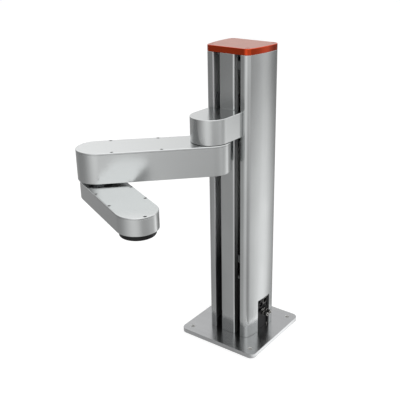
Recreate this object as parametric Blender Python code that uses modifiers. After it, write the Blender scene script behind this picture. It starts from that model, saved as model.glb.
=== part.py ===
"""Four-axis SCARA robot on a column: a carriage climbs the slotted front of the column and carries
two folding arms with a turning tool flange. Metres, +Z up. The origin is the middle of the base
plate's underside, and the slotted front faces -Y. The rest pose has the arms folded as drawn."""

from math import asin, atan2, cos, hypot, pi, radians, sin, sqrt, tau

import bmesh
import bpy

# Clearances
SEAT_GAP = 0.0003        # between faces that are screwed or pressed together
RUN_GAP = 0.001          # radial, round a turning disc or shaft
WEB_GAP = 0.0015         # each side of a lift web in its slot

# Base plate
BASE_SIDE = 0.200
BASE_THICK = 0.010
BASE_CORNER = 0.014
BASE_EDGE = 0.0006
BASE_HOLE_PITCH = 0.160
BASE_HOLE_D = 0.009

# Column casing, an extruded profile with convex sides
COLUMN_DEPTH = 0.104
COLUMN_FRONT_W = 0.1006
COLUMN_BACK_W = 0.1166
SIDE_BULGE = 0.0052
COLUMN_CORNER = 0.0128
COLUMN_WALL = 0.004
COLUMN_TOP = 0.649       # above the table
SLOT_W = 0.015
PORT_R = 0.0052          # screw ports inside the four corners
PORT_BORE_R = 0.0026

# Front strip between the slots, a shallow channel
STRIP_W = 0.037
STRIP_WALL = 0.003
STRIP_FLANGE = 0.014
STRIP_EDGE_R = 0.004

# Column cap and what is under it
CAP_HEIGHT = 0.0127
CAP_ROOF = 0.0045
CAP_WALL = 0.0035
CAP_EDGE_R = 0.0012
TOP_PLATE_THICK = 0.008
LAMP_BOARD_THICK = 0.0016

# Screws through the cap and the base plate into the ports
PORT_SCREW_R = 0.0023
PORT_SCREW_HEAD_R = 0.0042
PORT_SCREW_HEAD_H = 0.003
PORT_SCREW_L = 0.022

# Rail carrier, a U-shaped extrusion with outward lips
CARRIER_FACE_Y = 0.002
CARRIER_LIP_X = 0.046
CARRIER_LIP_T = 0.008
CARRIER_WALL = 0.005
CHANNEL_HALF = 0.0215
CHANNEL_DEPTH = 0.034

# Guide rails and blocks
RAIL_X = 0.034
RAIL_W = 0.012
RAIL_H = 0.008
RAIL_BOTTOM = 0.190
RAIL_TOP_DROP = 0.023    # rail tops below the column's top
BLOCK_W = 0.027
BLOCK_L = 0.036
BLOCK_RISE = 0.013       # carrier face to block face
BLOCK_SKIRT = 0.003      # carrier face to the underside of the block

# Lift drive in the carrier's channel
SCREW_SET_BACK = 0.012   # screw axis behind the carrier's face
SCREW_R = 0.006
JOURNAL_R = 0.005
MOTOR_W = 0.040
MOTOR_CORNER = 0.004
MOTOR_H = 0.084
MOTOR_SHAFT_R = 0.004
BRAKE_H = 0.028
BRAKE_FOOT = 0.014       # brake underside above the table
MOUNT_THICK = 0.008
COUPLING_R = 0.011
COUPLING_H = 0.030
BEARING_BLOCK_H = 0.018
BEARING_R = 0.013
BEARING_H = 0.008
NUT_R = 0.012
NUT_FLANGE_R = 0.0155
NUT_FLANGE_H = 0.007
NUT_HOUSING_HALF = 0.016
NUT_HOUSING_H = 0.028

# Carriage, D-shaped, at its rest height
CARRIAGE_DROP = 0.163    # its underside below the column's top
CARRIAGE_H = 0.051
CARRIAGE_R = 0.0398
CARRIAGE_WALL = 0.004
CARRIAGE_ROOF = 0.004
CARRIAGE_FLOOR = 0.010
CARRIAGE_EDGE_R = 0.0012
CARRIAGE_STAND_OFF = 0.001   # carriage back to column face
SHOULDER_REACH = 0.057       # shoulder axis in front of the column face
WEB_DROP = 0.0045            # web top below the carriage top
SLIDE_THICK = 0.010
SLIDE_H = 0.098

# Shoulder drive
SHOULDER_REDUCER_R = 0.032
SHOULDER_REDUCER_H = 0.017
SHOULDER_MOTOR_R = 0.029
SHOULDER_MOTOR_H = 0.017
SHOULDER_OUTPUT_R = 0.027

# Upper arm
SHOULDER_GAP = 0.0008        # carriage underside to arm top
SHOULDER_ANGLE = -44.0       # rest angle from straight ahead, degrees
UPPER_L = 0.220
UPPER_R = 0.042
UPPER_H = 0.0618
UPPER_WALL = 0.006
UPPER_FLOOR = 0.006
UPPER_COVER = 0.004
UPPER_SCREW_X = (0.006, 0.100, 0.194)

# Elbow drive
ELBOW_GAP = 0.0038
ELBOW_ANGLE = 110.0          # rest angle between the arms, degrees
ELBOW_REDUCER_R = 0.030
ELBOW_REDUCER_H = 0.020
ELBOW_MOTOR_R = 0.027
ELBOW_MOTOR_H = 0.026
ELBOW_OUTPUT_R = 0.0235

# Forearm
FORE_L = 0.180
FORE_R = 0.039
FORE_H = 0.0348
FORE_WALL = 0.005
FORE_FLOOR = 0.005
FORE_COVER = 0.003
FORE_SCREW_X = (0.072, 0.138)

# Arm shells share these
ARM_EDGE_R = 0.0012
BOSS_BORE_R = 0.014
COVER_SCREW_INSET = 0.004
COVER_SCREW_R = 0.0014
COVER_SCREW_HEAD_R = 0.0027
COVER_SCREW_HEAD_H = 0.0017
COVER_SCREW_L = 0.009

# Wrist drive
BELT_CENTRES = 0.090
BELT_PITCH = 0.002
BELT_T = 0.0013
BELT_W = 0.006
MOTOR_TEETH = 20
FLANGE_TEETH = 60
TOOTH_DEPTH = 0.0009
WRIST_MOTOR_R = 0.020
WRIST_MOTOR_H = 0.012
PULLEY_H = 0.0076
WRIST_SHAFT_R = 0.0125
WRIST_BORE_R = 0.008
WRIST_BEARING_R = 0.021
WRIST_BEARING_H = 0.009
WRIST_SEAT_R = 0.026
WRIST_LIP = 0.002

# Tool flange
FLANGE_R = 0.0334
FLANGE_H = 0.0105
FLANGE_EDGE_R = 0.0025
FLANGE_PILOT_R = 0.010
FLANGE_PILOT_DEPTH = 0.004
FLANGE_PITCH_R = 0.01575
FLANGE_HOLE_R = 0.0021
FLANGE_HOLE_DEPTH = 0.008

# Connector panel in the right side of the column
PANEL_FRONT_Y = -0.015
PANEL_BACK_Y = 0.029
PANEL_CUT_TOP = 0.091        # above the table
PANEL_CUT_CORNER = 0.0015
PANEL_LAP = 0.004
PANEL_THICK = 0.002
PANEL_SCREW_R = 0.0015
POWER_R = 0.0075
POWER_FLANGE_R = 0.0095
POWER_PROUD = 0.006
POWER_CAVITY_R = 0.0058
SOCKET_W = 0.0155
SOCKET_H = 0.0135
SOCKET_DEPTH = 0.016
SOCKET_WALL = 0.002
SOCKET_PROUD = 0.001
SIGNAL_W = 0.030
SIGNAL_H = 0.0115
SIGNAL_SHELL_W = 0.0185
SIGNAL_SHELL_H = 0.0085
SIGNAL_PROUD = 0.005
FITTING_R = 0.0048
FITTING_HEX_R = 0.0052
FITTING_PROUD = 0.014
FITTING_BORE_R = 0.0033
PANEL_SCREW_INSET = 0.0025
POWER_DEPTH = 0.012
POWER_FLANGE_T = 0.002
SIGNAL_HOLLOW = 0.88         # the shell's inside as a share of its outside
POWER_Y, POWER_Z = -0.0115, 0.078
SOCKET_Y, SOCKET_Z = 0.0115, 0.078
SIGNAL_Y, SIGNAL_Z = 0.0, 0.060
FITTING_YS, FITTING_Z = (0.0045, 0.0163), 0.0475

# Circuit boards beside the carrier
BOARD_THICK = 0.0016
BOARD_STAND_OFF = 0.003
BOARD_DEPTH = 0.026
BOARD_H = 0.150
BOARD_Z = 0.130
CHIP_RISE = 0.003

# Facets of a full circle
ROUND = 36
INNER_ROUND = 20
SMALL_ROUND = 8
TINY_ROUND = 6

# Places that follow from the sizes above
FRONT_Y = -COLUMN_DEPTH / 2
SLOT_INNER_X = STRIP_W / 2
SLOT_OUTER_X = SLOT_INNER_X + SLOT_W
WEB_X = SLOT_INNER_X + SLOT_W / 2
WEB_THICK = SLOT_W - 2 * WEB_GAP
SHOULDER_Y = FRONT_Y - SHOULDER_REACH
SCREW_Y = CARRIER_FACE_Y + SCREW_SET_BACK
SLIDE_FACE_Y = CARRIER_FACE_Y - BLOCK_RISE - SEAT_GAP
SLIDE_FRONT_Y = SLIDE_FACE_Y - SLIDE_THICK
CARRIAGE_Z = COLUMN_TOP - CARRIAGE_DROP
SLIDE_MID_Z = CARRIAGE_Z + CARRIAGE_H / 2
UPPER_Z = CARRIAGE_Z - SHOULDER_GAP - UPPER_H
FORE_Z = UPPER_Z - ELBOW_GAP - FORE_H
MOTOR_Z = BRAKE_FOOT + BRAKE_H + SEAT_GAP
MOUNT_Z = MOTOR_Z + MOTOR_H + SEAT_GAP
COUPLING_Z = MOUNT_Z + MOUNT_THICK + RUN_GAP
LOWER_BLOCK_Z = COUPLING_Z + COUPLING_H + RUN_GAP
TOP_PLATE_Z = COLUMN_TOP - TOP_PLATE_THICK
RAIL_TOP = COLUMN_TOP - RAIL_TOP_DROP
UPPER_BLOCK_Z = RAIL_TOP - BEARING_BLOCK_H
CAP_Z = COLUMN_TOP + SEAT_GAP
MOTOR_TOP = MOTOR_Z + MOTOR_H * 0.75 + RUN_GAP
WEB_H = CARRIAGE_H - WEB_DROP
FLANGE_REST = SEAT_GAP
PULLEY_Z = FORE_FLOOR + SEAT_GAP + WRIST_MOTOR_H + RUN_GAP
BELT_Z = PULLEY_Z + (PULLEY_H - BELT_W) / 2

# Finishes: colour, roughness, metallic
FINISHES = {
    "satin aluminium": ((0.62, 0.63, 0.63), 0.25, 1.0),
    "plain aluminium": ((0.55, 0.56, 0.57), 0.4, 1.0),
    "steel": ((0.45, 0.46, 0.48), 0.3, 1.0),
    "dark metal": ((0.07, 0.07, 0.08), 0.4, 0.8),
    "amber plastic": ((0.80, 0.16, 0.03), 0.2, 0.0),
    "black plastic": ((0.02, 0.02, 0.02), 0.45, 0.0),
    "black anodised": ((0.03, 0.03, 0.03), 0.35, 0.6),
    "rubber": ((0.03, 0.03, 0.03), 0.8, 0.0),
    "circuit board": ((0.02, 0.16, 0.08), 0.5, 0.0),
}

for old in list(bpy.data.objects):
    bpy.data.objects.remove(old, do_unlink=True)

robot = bpy.data.collections.new("scara_robot")
cutters = bpy.data.collections.new("cutters")
for collection in (robot, cutters):
    bpy.context.scene.collection.children.link(collection)


# Flat outlines, as lists of points

def arc(radius, x, y, start, end, count):
    """Points on an arc from start to end, in radians, both ends included."""
    steps = [start + (end - start) * i / count for i in range(count + 1)]
    return [(x + radius * cos(a), y + radius * sin(a)) for a in steps]


def circle(radius, x=0.0, y=0.0, count=ROUND):
    return arc(radius, x, y, 0.0, tau, count)[:-1]


def rectangle(x0, y0, x1, y1, corner=0.0):
    if corner <= 0.0:
        return [(x0, y0), (x1, y0), (x1, y1), (x0, y1)]
    quarters = ((x1 - corner, y0 + corner, -pi / 2), (x1 - corner, y1 - corner, 0.0),
                (x0 + corner, y1 - corner, pi / 2), (x0 + corner, y0 + corner, pi))
    return [p for x, y, a in quarters for p in arc(corner, x, y, a, a + pi / 2, 5)]


def stadium(length, radius):
    """A slot shape from the origin along +X, with round ends."""
    half = ROUND // 2
    return (arc(radius, length, 0.0, -pi / 2, pi / 2, half)
            + arc(radius, 0.0, 0.0, pi / 2, 3 * pi / 2, half))


def side_circle():
    """Centre and radius of the arc that makes the column's right side."""
    x0, x1 = COLUMN_FRONT_W / 2, COLUMN_BACK_W / 2
    chord = hypot(x1 - x0, COLUMN_DEPTH)
    radius = (chord * chord / 4 + SIDE_BULGE ** 2) / (2 * SIDE_BULGE)
    back_off = radius - SIDE_BULGE
    return ((x0 + x1) / 2 - back_off * COLUMN_DEPTH / chord,
            back_off * (x1 - x0) / chord, radius)


def corner_centre(side):
    """Centre of the rounded front (-1) or back (+1) right corner of the column."""
    x, y, radius = side_circle()
    corner_y = side * (COLUMN_DEPTH / 2 - COLUMN_CORNER)
    return x + sqrt((radius - COLUMN_CORNER) ** 2 - (corner_y - y) ** 2), corner_y


def column_half(inset):
    """Right half of the column's outline from front to back, moved inwards by inset."""
    x, y, radius = side_circle()
    front, back = corner_centre(-1), corner_centre(1)
    corner = max(COLUMN_CORNER - inset, SEAT_GAP)
    start = atan2(front[1] - y, front[0] - x)
    end = atan2(back[1] - y, back[0] - x)
    return (arc(corner, *front, -pi / 2, start, 5)
            + arc(radius - inset, x, y, start, end, 8)[1:]
            + arc(corner, *back, end, pi / 2, 5)[1:])


def mirrored(points):
    return [(-x, y) for x, y in reversed(points)]


def column_outline(inset):
    half = column_half(inset)
    return half + mirrored(half)


def channel(half, front, rear, corner):
    """An open path: up one flange, round the front's two corners and down the other flange."""
    return ([(-half, rear)] + arc(corner, corner - half, front + corner, pi, 3 * pi / 2, 6)
            + arc(corner, half - corner, front + corner, -pi / 2, 0.0, 6) + [(half, rear)])


def side_x(y, inset):
    """Where the column's right side, moved inwards by inset, stands at a given y."""
    cx, cy, radius = side_circle()
    return cx + sqrt((radius - inset) ** 2 - (y - cy) ** 2)


def port_places():
    """Centres of the four screw ports, tucked into the casing's corners."""
    reach = (COLUMN_CORNER - COLUMN_WALL - PORT_R + RUN_GAP) / sqrt(2)
    spots = []
    for side in (-1, 1):
        x, y = corner_centre(side)
        spots += [(s * (x + reach), y + side * reach) for s in (-1, 1)]
    return spots


# Pieces

def place(name, mesh, at=(0, 0, 0), parent=None, turn=(0, 0, 0)):
    piece = bpy.data.objects.new(name, mesh)
    robot.objects.link(piece)
    piece.parent = parent
    piece.location = at
    piece.rotation_euler = turn
    return piece


def mesh_from(bm, name):
    mesh = bpy.data.meshes.new(name)
    bm.to_mesh(mesh)
    bm.free()
    return mesh


def evaluated_mesh(piece):
    bpy.context.view_layer.update()
    graph = bpy.context.evaluated_depsgraph_get()
    return bpy.data.meshes.new_from_object(piece.evaluated_get(graph))


def slab(name, outlines, height, at=(0, 0, 0), parent=None, turn=(0, 0, 0)):
    """An outline, with holes if more are given, raised by height above its place."""
    curve = bpy.data.curves.new(name, "CURVE")
    curve.dimensions = "2D"
    curve.fill_mode = "BOTH"
    curve.extrude = height / 2
    for outline in outlines:
        spline = curve.splines.new("POLY")
        spline.points.add(len(outline) - 1)
        for point, (x, y) in zip(spline.points, outline):
            point.co = (x, y, 0.0, 1.0)
        spline.use_cyclic_u = True
    flat = place(name + "_curve", curve)
    bm = bmesh.new()
    bm.from_mesh(evaluated_mesh(flat))
    bpy.data.objects.remove(flat, do_unlink=True)
    bmesh.ops.remove_doubles(bm, verts=bm.verts, dist=0.00001)
    bmesh.ops.dissolve_limit(bm, angle_limit=radians(0.5), verts=bm.verts, edges=bm.edges)
    bmesh.ops.translate(bm, verts=bm.verts, vec=(0, 0, height / 2))
    bmesh.ops.recalc_face_normals(bm, faces=bm.faces)
    return place(name, mesh_from(bm, name), at, parent, turn)


def block(name, size, at=(0, 0, 0), parent=None, turn=(0, 0, 0)):
    """A box that stands on its place: at is the middle of its underside."""
    bm = bmesh.new()
    bmesh.ops.create_cube(bm, size=1.0)
    bmesh.ops.scale(bm, verts=bm.verts, vec=size)
    bmesh.ops.translate(bm, verts=bm.verts, vec=(0, 0, size[2] / 2))
    return place(name, mesh_from(bm, name), at, parent, turn)


def cylinder(name, radius, height, at=(0, 0, 0), parent=None, turn=(0, 0, 0), count=ROUND):
    """A round bar that stands on its place."""
    bm = bmesh.new()
    bmesh.ops.create_cone(bm, cap_ends=True, segments=count, radius1=radius, radius2=radius,
                          depth=height)
    bmesh.ops.translate(bm, verts=bm.verts, vec=(0, 0, height / 2))
    return place(name, mesh_from(bm, name), at, parent, turn)


def turned(name, profile, at=(0, 0, 0), parent=None, turn=(0, 0, 0), count=ROUND, ring=False):
    """A lathe-turned piece. The profile is (radius, height) and runs down the outer side."""
    bm = bmesh.new()
    verts = [bm.verts.new((r, 0.0, z)) for r, z in profile]
    for a, b in zip(verts, verts[1:]):
        bm.edges.new((a, b))
    if ring:
        bm.edges.new((verts[-1], verts[0]))
    piece = place(name, mesh_from(bm, name), at, parent, turn)
    lathe = piece.modifiers.new("lathe", "SCREW")
    lathe.steps = count
    lathe.render_steps = count
    lathe.use_merge_vertices = True
    lathe.merge_threshold = 0.00001
    lathe.use_normal_calculate = False
    return piece


def as_cutter(tool):
    robot.objects.unlink(tool)
    cutters.objects.link(tool)
    tool.hide_render = True
    tool.display_type = "WIRE"


def cut(piece, tool):
    as_cutter(tool)
    hole = piece.modifiers.new("cut", "BOOLEAN")
    hole.operation = "DIFFERENCE"
    hole.object = tool


def fuse(piece, tool):
    as_cutter(tool)
    added = piece.modifiers.new("fuse", "BOOLEAN")
    added.operation = "UNION"
    added.object = tool


def soften(piece, level, width, segments=2):
    """Rounds the rim where the walls meet the flat face at the given height."""
    bm = bmesh.new()
    bm.from_mesh(piece.data)
    rim = [e for e in bm.edges
           if all(abs(v.co.z - level) < 1e-6 for v in e.verts)
           and len(e.link_faces) == 2 and e.calc_face_angle() > radians(40)]
    bmesh.ops.bevel(bm, geom=rim, offset=width, segments=segments, profile=0.5,
                    affect="EDGES", clamp_overlap=True)
    bm.to_mesh(piece.data)
    bm.free()


def repeated(name, sample, spots, parent=None):
    """One object that holds a copy of the sample at each spot, and the sample goes."""
    sample.parent = None
    mesh = evaluated_mesh(sample)
    mesh.transform(sample.rotation_euler.to_matrix().to_4x4())
    bm = bmesh.new()
    for spot in spots:
        start = len(bm.verts)
        bm.from_mesh(mesh)
        bm.verts.ensure_lookup_table()
        bmesh.ops.translate(bm, verts=bm.verts[start:], vec=spot)
    bpy.data.objects.remove(sample, do_unlink=True)
    return place(name, mesh_from(bm, name), parent=parent)


def copies(name, sample, spots, parent=None):
    """A numbered piece at each spot, all with the sample's mesh, and the sample goes."""
    mesh, turn = evaluated_mesh(sample), sample.rotation_euler.copy()
    bpy.data.objects.remove(sample, do_unlink=True)
    return [place(f"{name}_{i}", mesh, spot, parent, turn) for i, spot in enumerate(spots, 1)][0]


def finish(piece, kind):
    """Gives a piece its own material and smooth shading over its rounds."""
    colour, roughness, metallic = FINISHES[kind]
    material = bpy.data.materials.new(piece.name + "_" + kind.replace(" ", "_"))
    material.use_nodes = True
    shader = material.node_tree.nodes["Principled BSDF"]
    shader.inputs["Base Color"].default_value = (*colour, 1.0)
    shader.inputs["Roughness"].default_value = roughness
    shader.inputs["Metallic"].default_value = metallic
    piece.data.materials.clear()
    piece.data.materials.append(material)
    piece.data.shade_smooth()
    piece.data.set_sharp_from_angle(angle=radians(30))
    return piece


def axis_at(name, at, parent=None, turn=0.0):
    """An empty on a joint's axis, which the moving pieces hang from."""
    empty = bpy.data.objects.new(name, None)
    robot.objects.link(empty)
    empty.parent = parent
    empty.location = at
    empty.rotation_euler = (0, 0, turn)
    return empty


def screw_profile(head_r, head_h, shank_r, length):
    """A screw whose head stands on height 0 and whose shank hangs below."""
    socket_r, socket_z = head_r * 0.45, head_h * 0.5
    return [(0, socket_z), (socket_r, socket_z), (socket_r, head_h), (head_r, head_h),
            (head_r, 0), (shank_r, 0), (shank_r, -length), (0, -length)]


def screw_hole(head_r, head_h, shank_r, length):
    """The cutter for a countersunk seat: the screw's own form with its clearance."""
    wide, slim = head_r + SEAT_GAP, shank_r + SEAT_GAP
    return [(0, head_h + RUN_GAP), (wide, head_h + RUN_GAP), (wide, -SEAT_GAP),
            (slim, -SEAT_GAP), (slim, -length - RUN_GAP), (0, -length - RUN_GAP)]


# Base and column

def base_plate():
    half, pitch = BASE_SIDE / 2, BASE_HOLE_PITCH / 2
    holes = [circle(BASE_HOLE_D / 2, sx * pitch, sy * pitch, 16) for sx in (-1, 1) for sy in (-1, 1)]
    plate = slab("base_plate", [rectangle(-half, -half, half, half, BASE_CORNER)] + holes, BASE_THICK)
    soften(plate, BASE_THICK, BASE_EDGE, 1)
    seat = turned("foot_seat", screw_hole(PORT_SCREW_HEAD_R, PORT_SCREW_HEAD_H, PORT_SCREW_R,
                                          BASE_THICK), turn=(pi, 0, 0), count=SMALL_ROUND)
    level = PORT_SCREW_HEAD_H + SEAT_GAP
    cut(plate, repeated("foot_seats", seat, [(x, y, level) for x, y in port_places()]))
    finish(plate, "satin aluminium")


def casing_path(inset):
    """The casing's wall line from the right slot edge round the back to the left slot edge."""
    half = [(SLOT_OUTER_X, FRONT_Y + inset)] + column_half(inset)
    return half + mirrored(half)


def column_casing():
    bottom = BASE_THICK + SEAT_GAP
    height = COLUMN_TOP - bottom
    casing = slab("column_casing", [casing_path(0.0) + casing_path(COLUMN_WALL)[::-1]], height,
                  (0, 0, bottom))
    port = cylinder("port", PORT_R, height, count=INNER_ROUND // 2)
    fuse(casing, repeated("ports", port, [(x, y, bottom) for x, y in port_places()]))
    bore = cylinder("port_bore", PORT_BORE_R, height + 2 * RUN_GAP, count=SMALL_ROUND)
    cut(casing, repeated("port_bores", bore, [(x, y, bottom - RUN_GAP) for x, y in port_places()]))
    middle, half = (PANEL_FRONT_Y + PANEL_BACK_Y) / 2, (PANEL_BACK_Y - PANEL_FRONT_Y) / 2
    window = slab("panel_window", [rectangle(-PANEL_CUT_TOP, -half, PANEL_CUT_TOP, half,
                                             PANEL_CUT_CORNER)], 4 * COLUMN_WALL,
                  (side_x(PANEL_FRONT_Y, 2 * COLUMN_WALL), middle, 0.0), turn=(0, pi / 2, 0))
    cut(casing, window)
    finish(casing, "satin aluminium")


def front_strip():
    bottom, half, rear = BASE_THICK + SEAT_GAP, STRIP_W / 2, FRONT_Y + STRIP_FLANGE
    outer = channel(half, FRONT_Y, rear, STRIP_EDGE_R)
    inner = channel(half - STRIP_WALL, FRONT_Y + STRIP_WALL, rear,
                    max(STRIP_EDGE_R - STRIP_WALL, SEAT_GAP))
    strip = slab("front_strip", [outer + inner[::-1]], COLUMN_TOP - bottom, (0, 0, bottom))
    finish(strip, "satin aluminium")


def rail_carrier():
    """Base plate to top plate: a channel for the lift screw, with lips that carry the rails."""
    bottom, face = BASE_THICK + SEAT_GAP, CARRIER_FACE_Y
    web = CHANNEL_HALF + CARRIER_WALL
    half = [(CHANNEL_HALF, face), (CARRIER_LIP_X, face), (CARRIER_LIP_X, face + CARRIER_LIP_T),
            (web, face + CARRIER_LIP_T), (web, face + CHANNEL_DEPTH + CARRIER_WALL)]
    floor = [(-CHANNEL_HALF, face + CHANNEL_DEPTH), (CHANNEL_HALF, face + CHANNEL_DEPTH)]
    carrier = slab("rail_carrier", [half + mirrored(half) + floor],
                   TOP_PLATE_Z - SEAT_GAP - bottom, (0, 0, bottom))
    clear = PANEL_CUT_TOP + 2 * PANEL_LAP
    room = block("panel_room", (CARRIER_LIP_X, 4 * CARRIER_LIP_T, clear),
                 (web + CARRIER_LIP_X / 2 + SEAT_GAP, face, 0))
    cut(carrier, room)
    finish(carrier, "plain aluminium")


def guide_rails():
    """Two ground rails with a waist down each side, where the balls run."""
    waist, low, high = RAIL_W / 2 - 0.0015, RAIL_H * 0.35, RAIL_H * 0.75
    half = [(RAIL_W / 2, 0.0), (RAIL_W / 2, low), (waist, (low + high) / 2), (RAIL_W / 2, high),
            (RAIL_W / 2, RAIL_H)]
    face = CARRIER_FACE_Y - SEAT_GAP
    outline = [(x, -y) for x, y in half + mirrored(half)]
    for name, side in (("guide_rail_left", -1), ("guide_rail_right", 1)):
        rail = slab(name, [outline], RAIL_TOP - RAIL_BOTTOM, (side * RAIL_X, face, RAIL_BOTTOM))
        finish(rail, "steel")


def channel_slab(name, front_y, height, at_z, bore_r=0.0, corner=0.0):
    """A block that fills the carrier's channel, from front_y to its floor, bored on the screw."""
    half = CHANNEL_HALF - SEAT_GAP
    back = CARRIER_FACE_Y + CHANNEL_DEPTH - SEAT_GAP
    outlines = [rectangle(-half, front_y, half, back, corner)]
    if bore_r > 0.0:
        outlines.append(circle(bore_r, 0.0, SCREW_Y, INNER_ROUND))
    return slab(name, outlines, height, (0, 0, at_z))


def lift_motor():
    half = MOTOR_W / 2
    outline = rectangle(-half, -half, half, half, MOTOR_CORNER)
    motor = slab("z_motor", [outline], MOTOR_H, (0, SCREW_Y, MOTOR_Z))
    soften(motor, MOTOR_H, 0.001, 2)
    bore = cylinder("motor_bore", MOTOR_SHAFT_R + RUN_GAP, MOTOR_H / 3,
                    (0, SCREW_Y, MOTOR_Z + MOTOR_H * 0.75), count=INNER_ROUND)
    cut(motor, bore)
    brake = slab("holding_brake", [outline], BRAKE_H, (0, SCREW_Y, BRAKE_FOOT))
    mount = channel_slab("motor_mount", SCREW_Y - half, MOUNT_THICK, MOUNT_Z,
                         MOTOR_SHAFT_R + 2 * RUN_GAP)
    finish(motor, "black anodised")
    finish(brake, "dark metal")
    finish(mount, "plain aluminium")


def screw_bearings():
    """Two bearing blocks in the channel, each bored for a ball bearing with a lip under it."""
    front = SCREW_Y - BEARING_R - COLUMN_WALL
    for name, level in (("lower_bearing_block", LOWER_BLOCK_Z), ("upper_bearing_block", UPPER_BLOCK_Z)):
        body = channel_slab(name, front, BEARING_BLOCK_H, level, JOURNAL_R + 2 * RUN_GAP)
        seat = cylinder(name + "_seat", BEARING_R + SEAT_GAP, BEARING_BLOCK_H,
                        (0, SCREW_Y, level + BEARING_BLOCK_H - BEARING_H - SEAT_GAP),
                        count=INNER_ROUND)
        cut(body, seat)
        finish(body, "plain aluminium")
    inner, top = JOURNAL_R + SEAT_GAP, BEARING_H
    bearing = turned("bearing", [(inner, 0), (inner, top), (BEARING_R, top), (BEARING_R, 0)],
                     count=INNER_ROUND, ring=True)
    spots = [(0, SCREW_Y, z + BEARING_BLOCK_H - BEARING_H) for z in (LOWER_BLOCK_Z, UPPER_BLOCK_Z)]
    finish(copies("screw_bearing", bearing, spots), "steel")


def top_plate():
    """Ties the carrier, the strip and the casing at the top. Its tongue fills the strip's channel."""
    tongue = STRIP_W / 2 - STRIP_WALL - SEAT_GAP
    front = FRONT_Y + STRIP_WALL + SEAT_GAP
    shoulder = corner_centre(-1)[1] + PORT_R
    half_w = CARRIER_LIP_X - PORT_R
    back = COLUMN_DEPTH / 2 - COLUMN_WALL - SEAT_GAP
    corner = back - corner_centre(1)[1] + PORT_R
    half = [(tongue, front), (tongue, shoulder), (half_w, shoulder), (half_w, back - corner),
            (half_w - corner / 2, back)]
    plate = slab("top_plate", [half + mirrored(half)], TOP_PLATE_THICK, (0, 0, TOP_PLATE_Z))
    finish(plate, "plain aluminium")


def column_cap():
    cap = slab("indicator_cap", [column_outline(0.0)], CAP_HEIGHT, (0, 0, CAP_Z))
    soften(cap, CAP_HEIGHT, CAP_EDGE_R)
    room = CAP_HEIGHT - CAP_ROOF
    cut(cap, slab("cap_room", [column_outline(CAP_WALL)], 2 * room, (0, 0, CAP_Z - room)))
    boss = cylinder("cap_boss", PORT_R, room + CAP_ROOF / 2, count=INNER_ROUND // 2)
    fuse(cap, repeated("cap_bosses", boss, [(x, y, CAP_Z) for x, y in port_places()]))
    level = CAP_Z + CAP_HEIGHT - PORT_SCREW_HEAD_H - SEAT_GAP
    spots = [(x, y, level) for x, y in port_places()]
    seat = turned("cap_seat", screw_hole(PORT_SCREW_HEAD_R, PORT_SCREW_HEAD_H, PORT_SCREW_R,
                                         CAP_HEIGHT), count=SMALL_ROUND)
    cut(cap, repeated("cap_seats", seat, spots))
    screw = turned("cap_screw", screw_profile(PORT_SCREW_HEAD_R, PORT_SCREW_HEAD_H, PORT_SCREW_R,
                                              PORT_SCREW_L), count=SMALL_ROUND)
    finish(copies("cap_screw", screw, spots), "steel")
    finish(cap, "amber plastic")


def lamp_board():
    """The status lamp's board lies on the top plate, with a ring of lamps under the cap."""
    half_x, half_y = CHANNEL_HALF + CARRIER_WALL, CHANNEL_DEPTH - CARRIER_WALL
    board = slab("lamp_board", [rectangle(-half_x, -half_y, half_x, half_y, COLUMN_WALL),
                                circle(half_x / 2, count=SMALL_ROUND)], LAMP_BOARD_THICK, (0, 0, CAP_Z))
    lamp = block("lamp", (0.005, 0.005, LAMP_BOARD_THICK))
    ring = [(half_x * 0.75 * cos(a), half_x * 0.75 * sin(a), CAP_Z + LAMP_BOARD_THICK - 0.0002)
            for a in (tau * i / 8 for i in range(8))]
    fuse(board, repeated("lamps", lamp, ring))
    finish(board, "circuit board")


# Connector panel

def panel_frame():
    """An empty on the panel's outer face: its +X points out of the column and +Y to the back."""
    y0, y1 = PANEL_FRONT_Y - PANEL_LAP, PANEL_BACK_Y + PANEL_LAP
    x0, x1 = side_x(y0, COLUMN_WALL + SEAT_GAP), side_x(y1, COLUMN_WALL + SEAT_GAP)
    frame = axis_at("panel_frame", ((x0 + x1) / 2, (y0 + y1) / 2, 0), turn=atan2(x0 - x1, y1 - y0))
    return frame, hypot(x1 - x0, y1 - y0)


OUTWARD = (0, pi / 2, 0)


def connector_panel(frame, width):
    bottom = BASE_THICK + SEAT_GAP
    top = PANEL_CUT_TOP + PANEL_LAP
    panel = block("connector_panel", (PANEL_THICK, width, top - bottom),
                  (-PANEL_THICK / 2, 0, bottom), frame)
    round_holes = [(POWER_Y, POWER_Z, POWER_R)] + [(y, FITTING_Z, FITTING_R) for y in FITTING_YS]
    for y, z, r in round_holes:
        cut(panel, cylinder("panel_hole", r + SEAT_GAP, 4 * PANEL_THICK, (-2 * PANEL_THICK, y, z),
                            frame, OUTWARD, INNER_ROUND))
    cut(panel, block("socket_hole", (4 * PANEL_THICK, SOCKET_W + 2 * SEAT_GAP, SOCKET_H + 2 * SEAT_GAP),
                     (0, SOCKET_Y, SOCKET_Z - SOCKET_H / 2 - SEAT_GAP), frame))
    cut(panel, block("signal_hole", (4 * PANEL_THICK, SIGNAL_SHELL_W, SIGNAL_SHELL_H),
                     (0, SIGNAL_Y, SIGNAL_Z - SIGNAL_SHELL_H / 2), frame))
    cut(panel, panel_screw_holes(frame, width))
    finish(panel, "black anodised")


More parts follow.
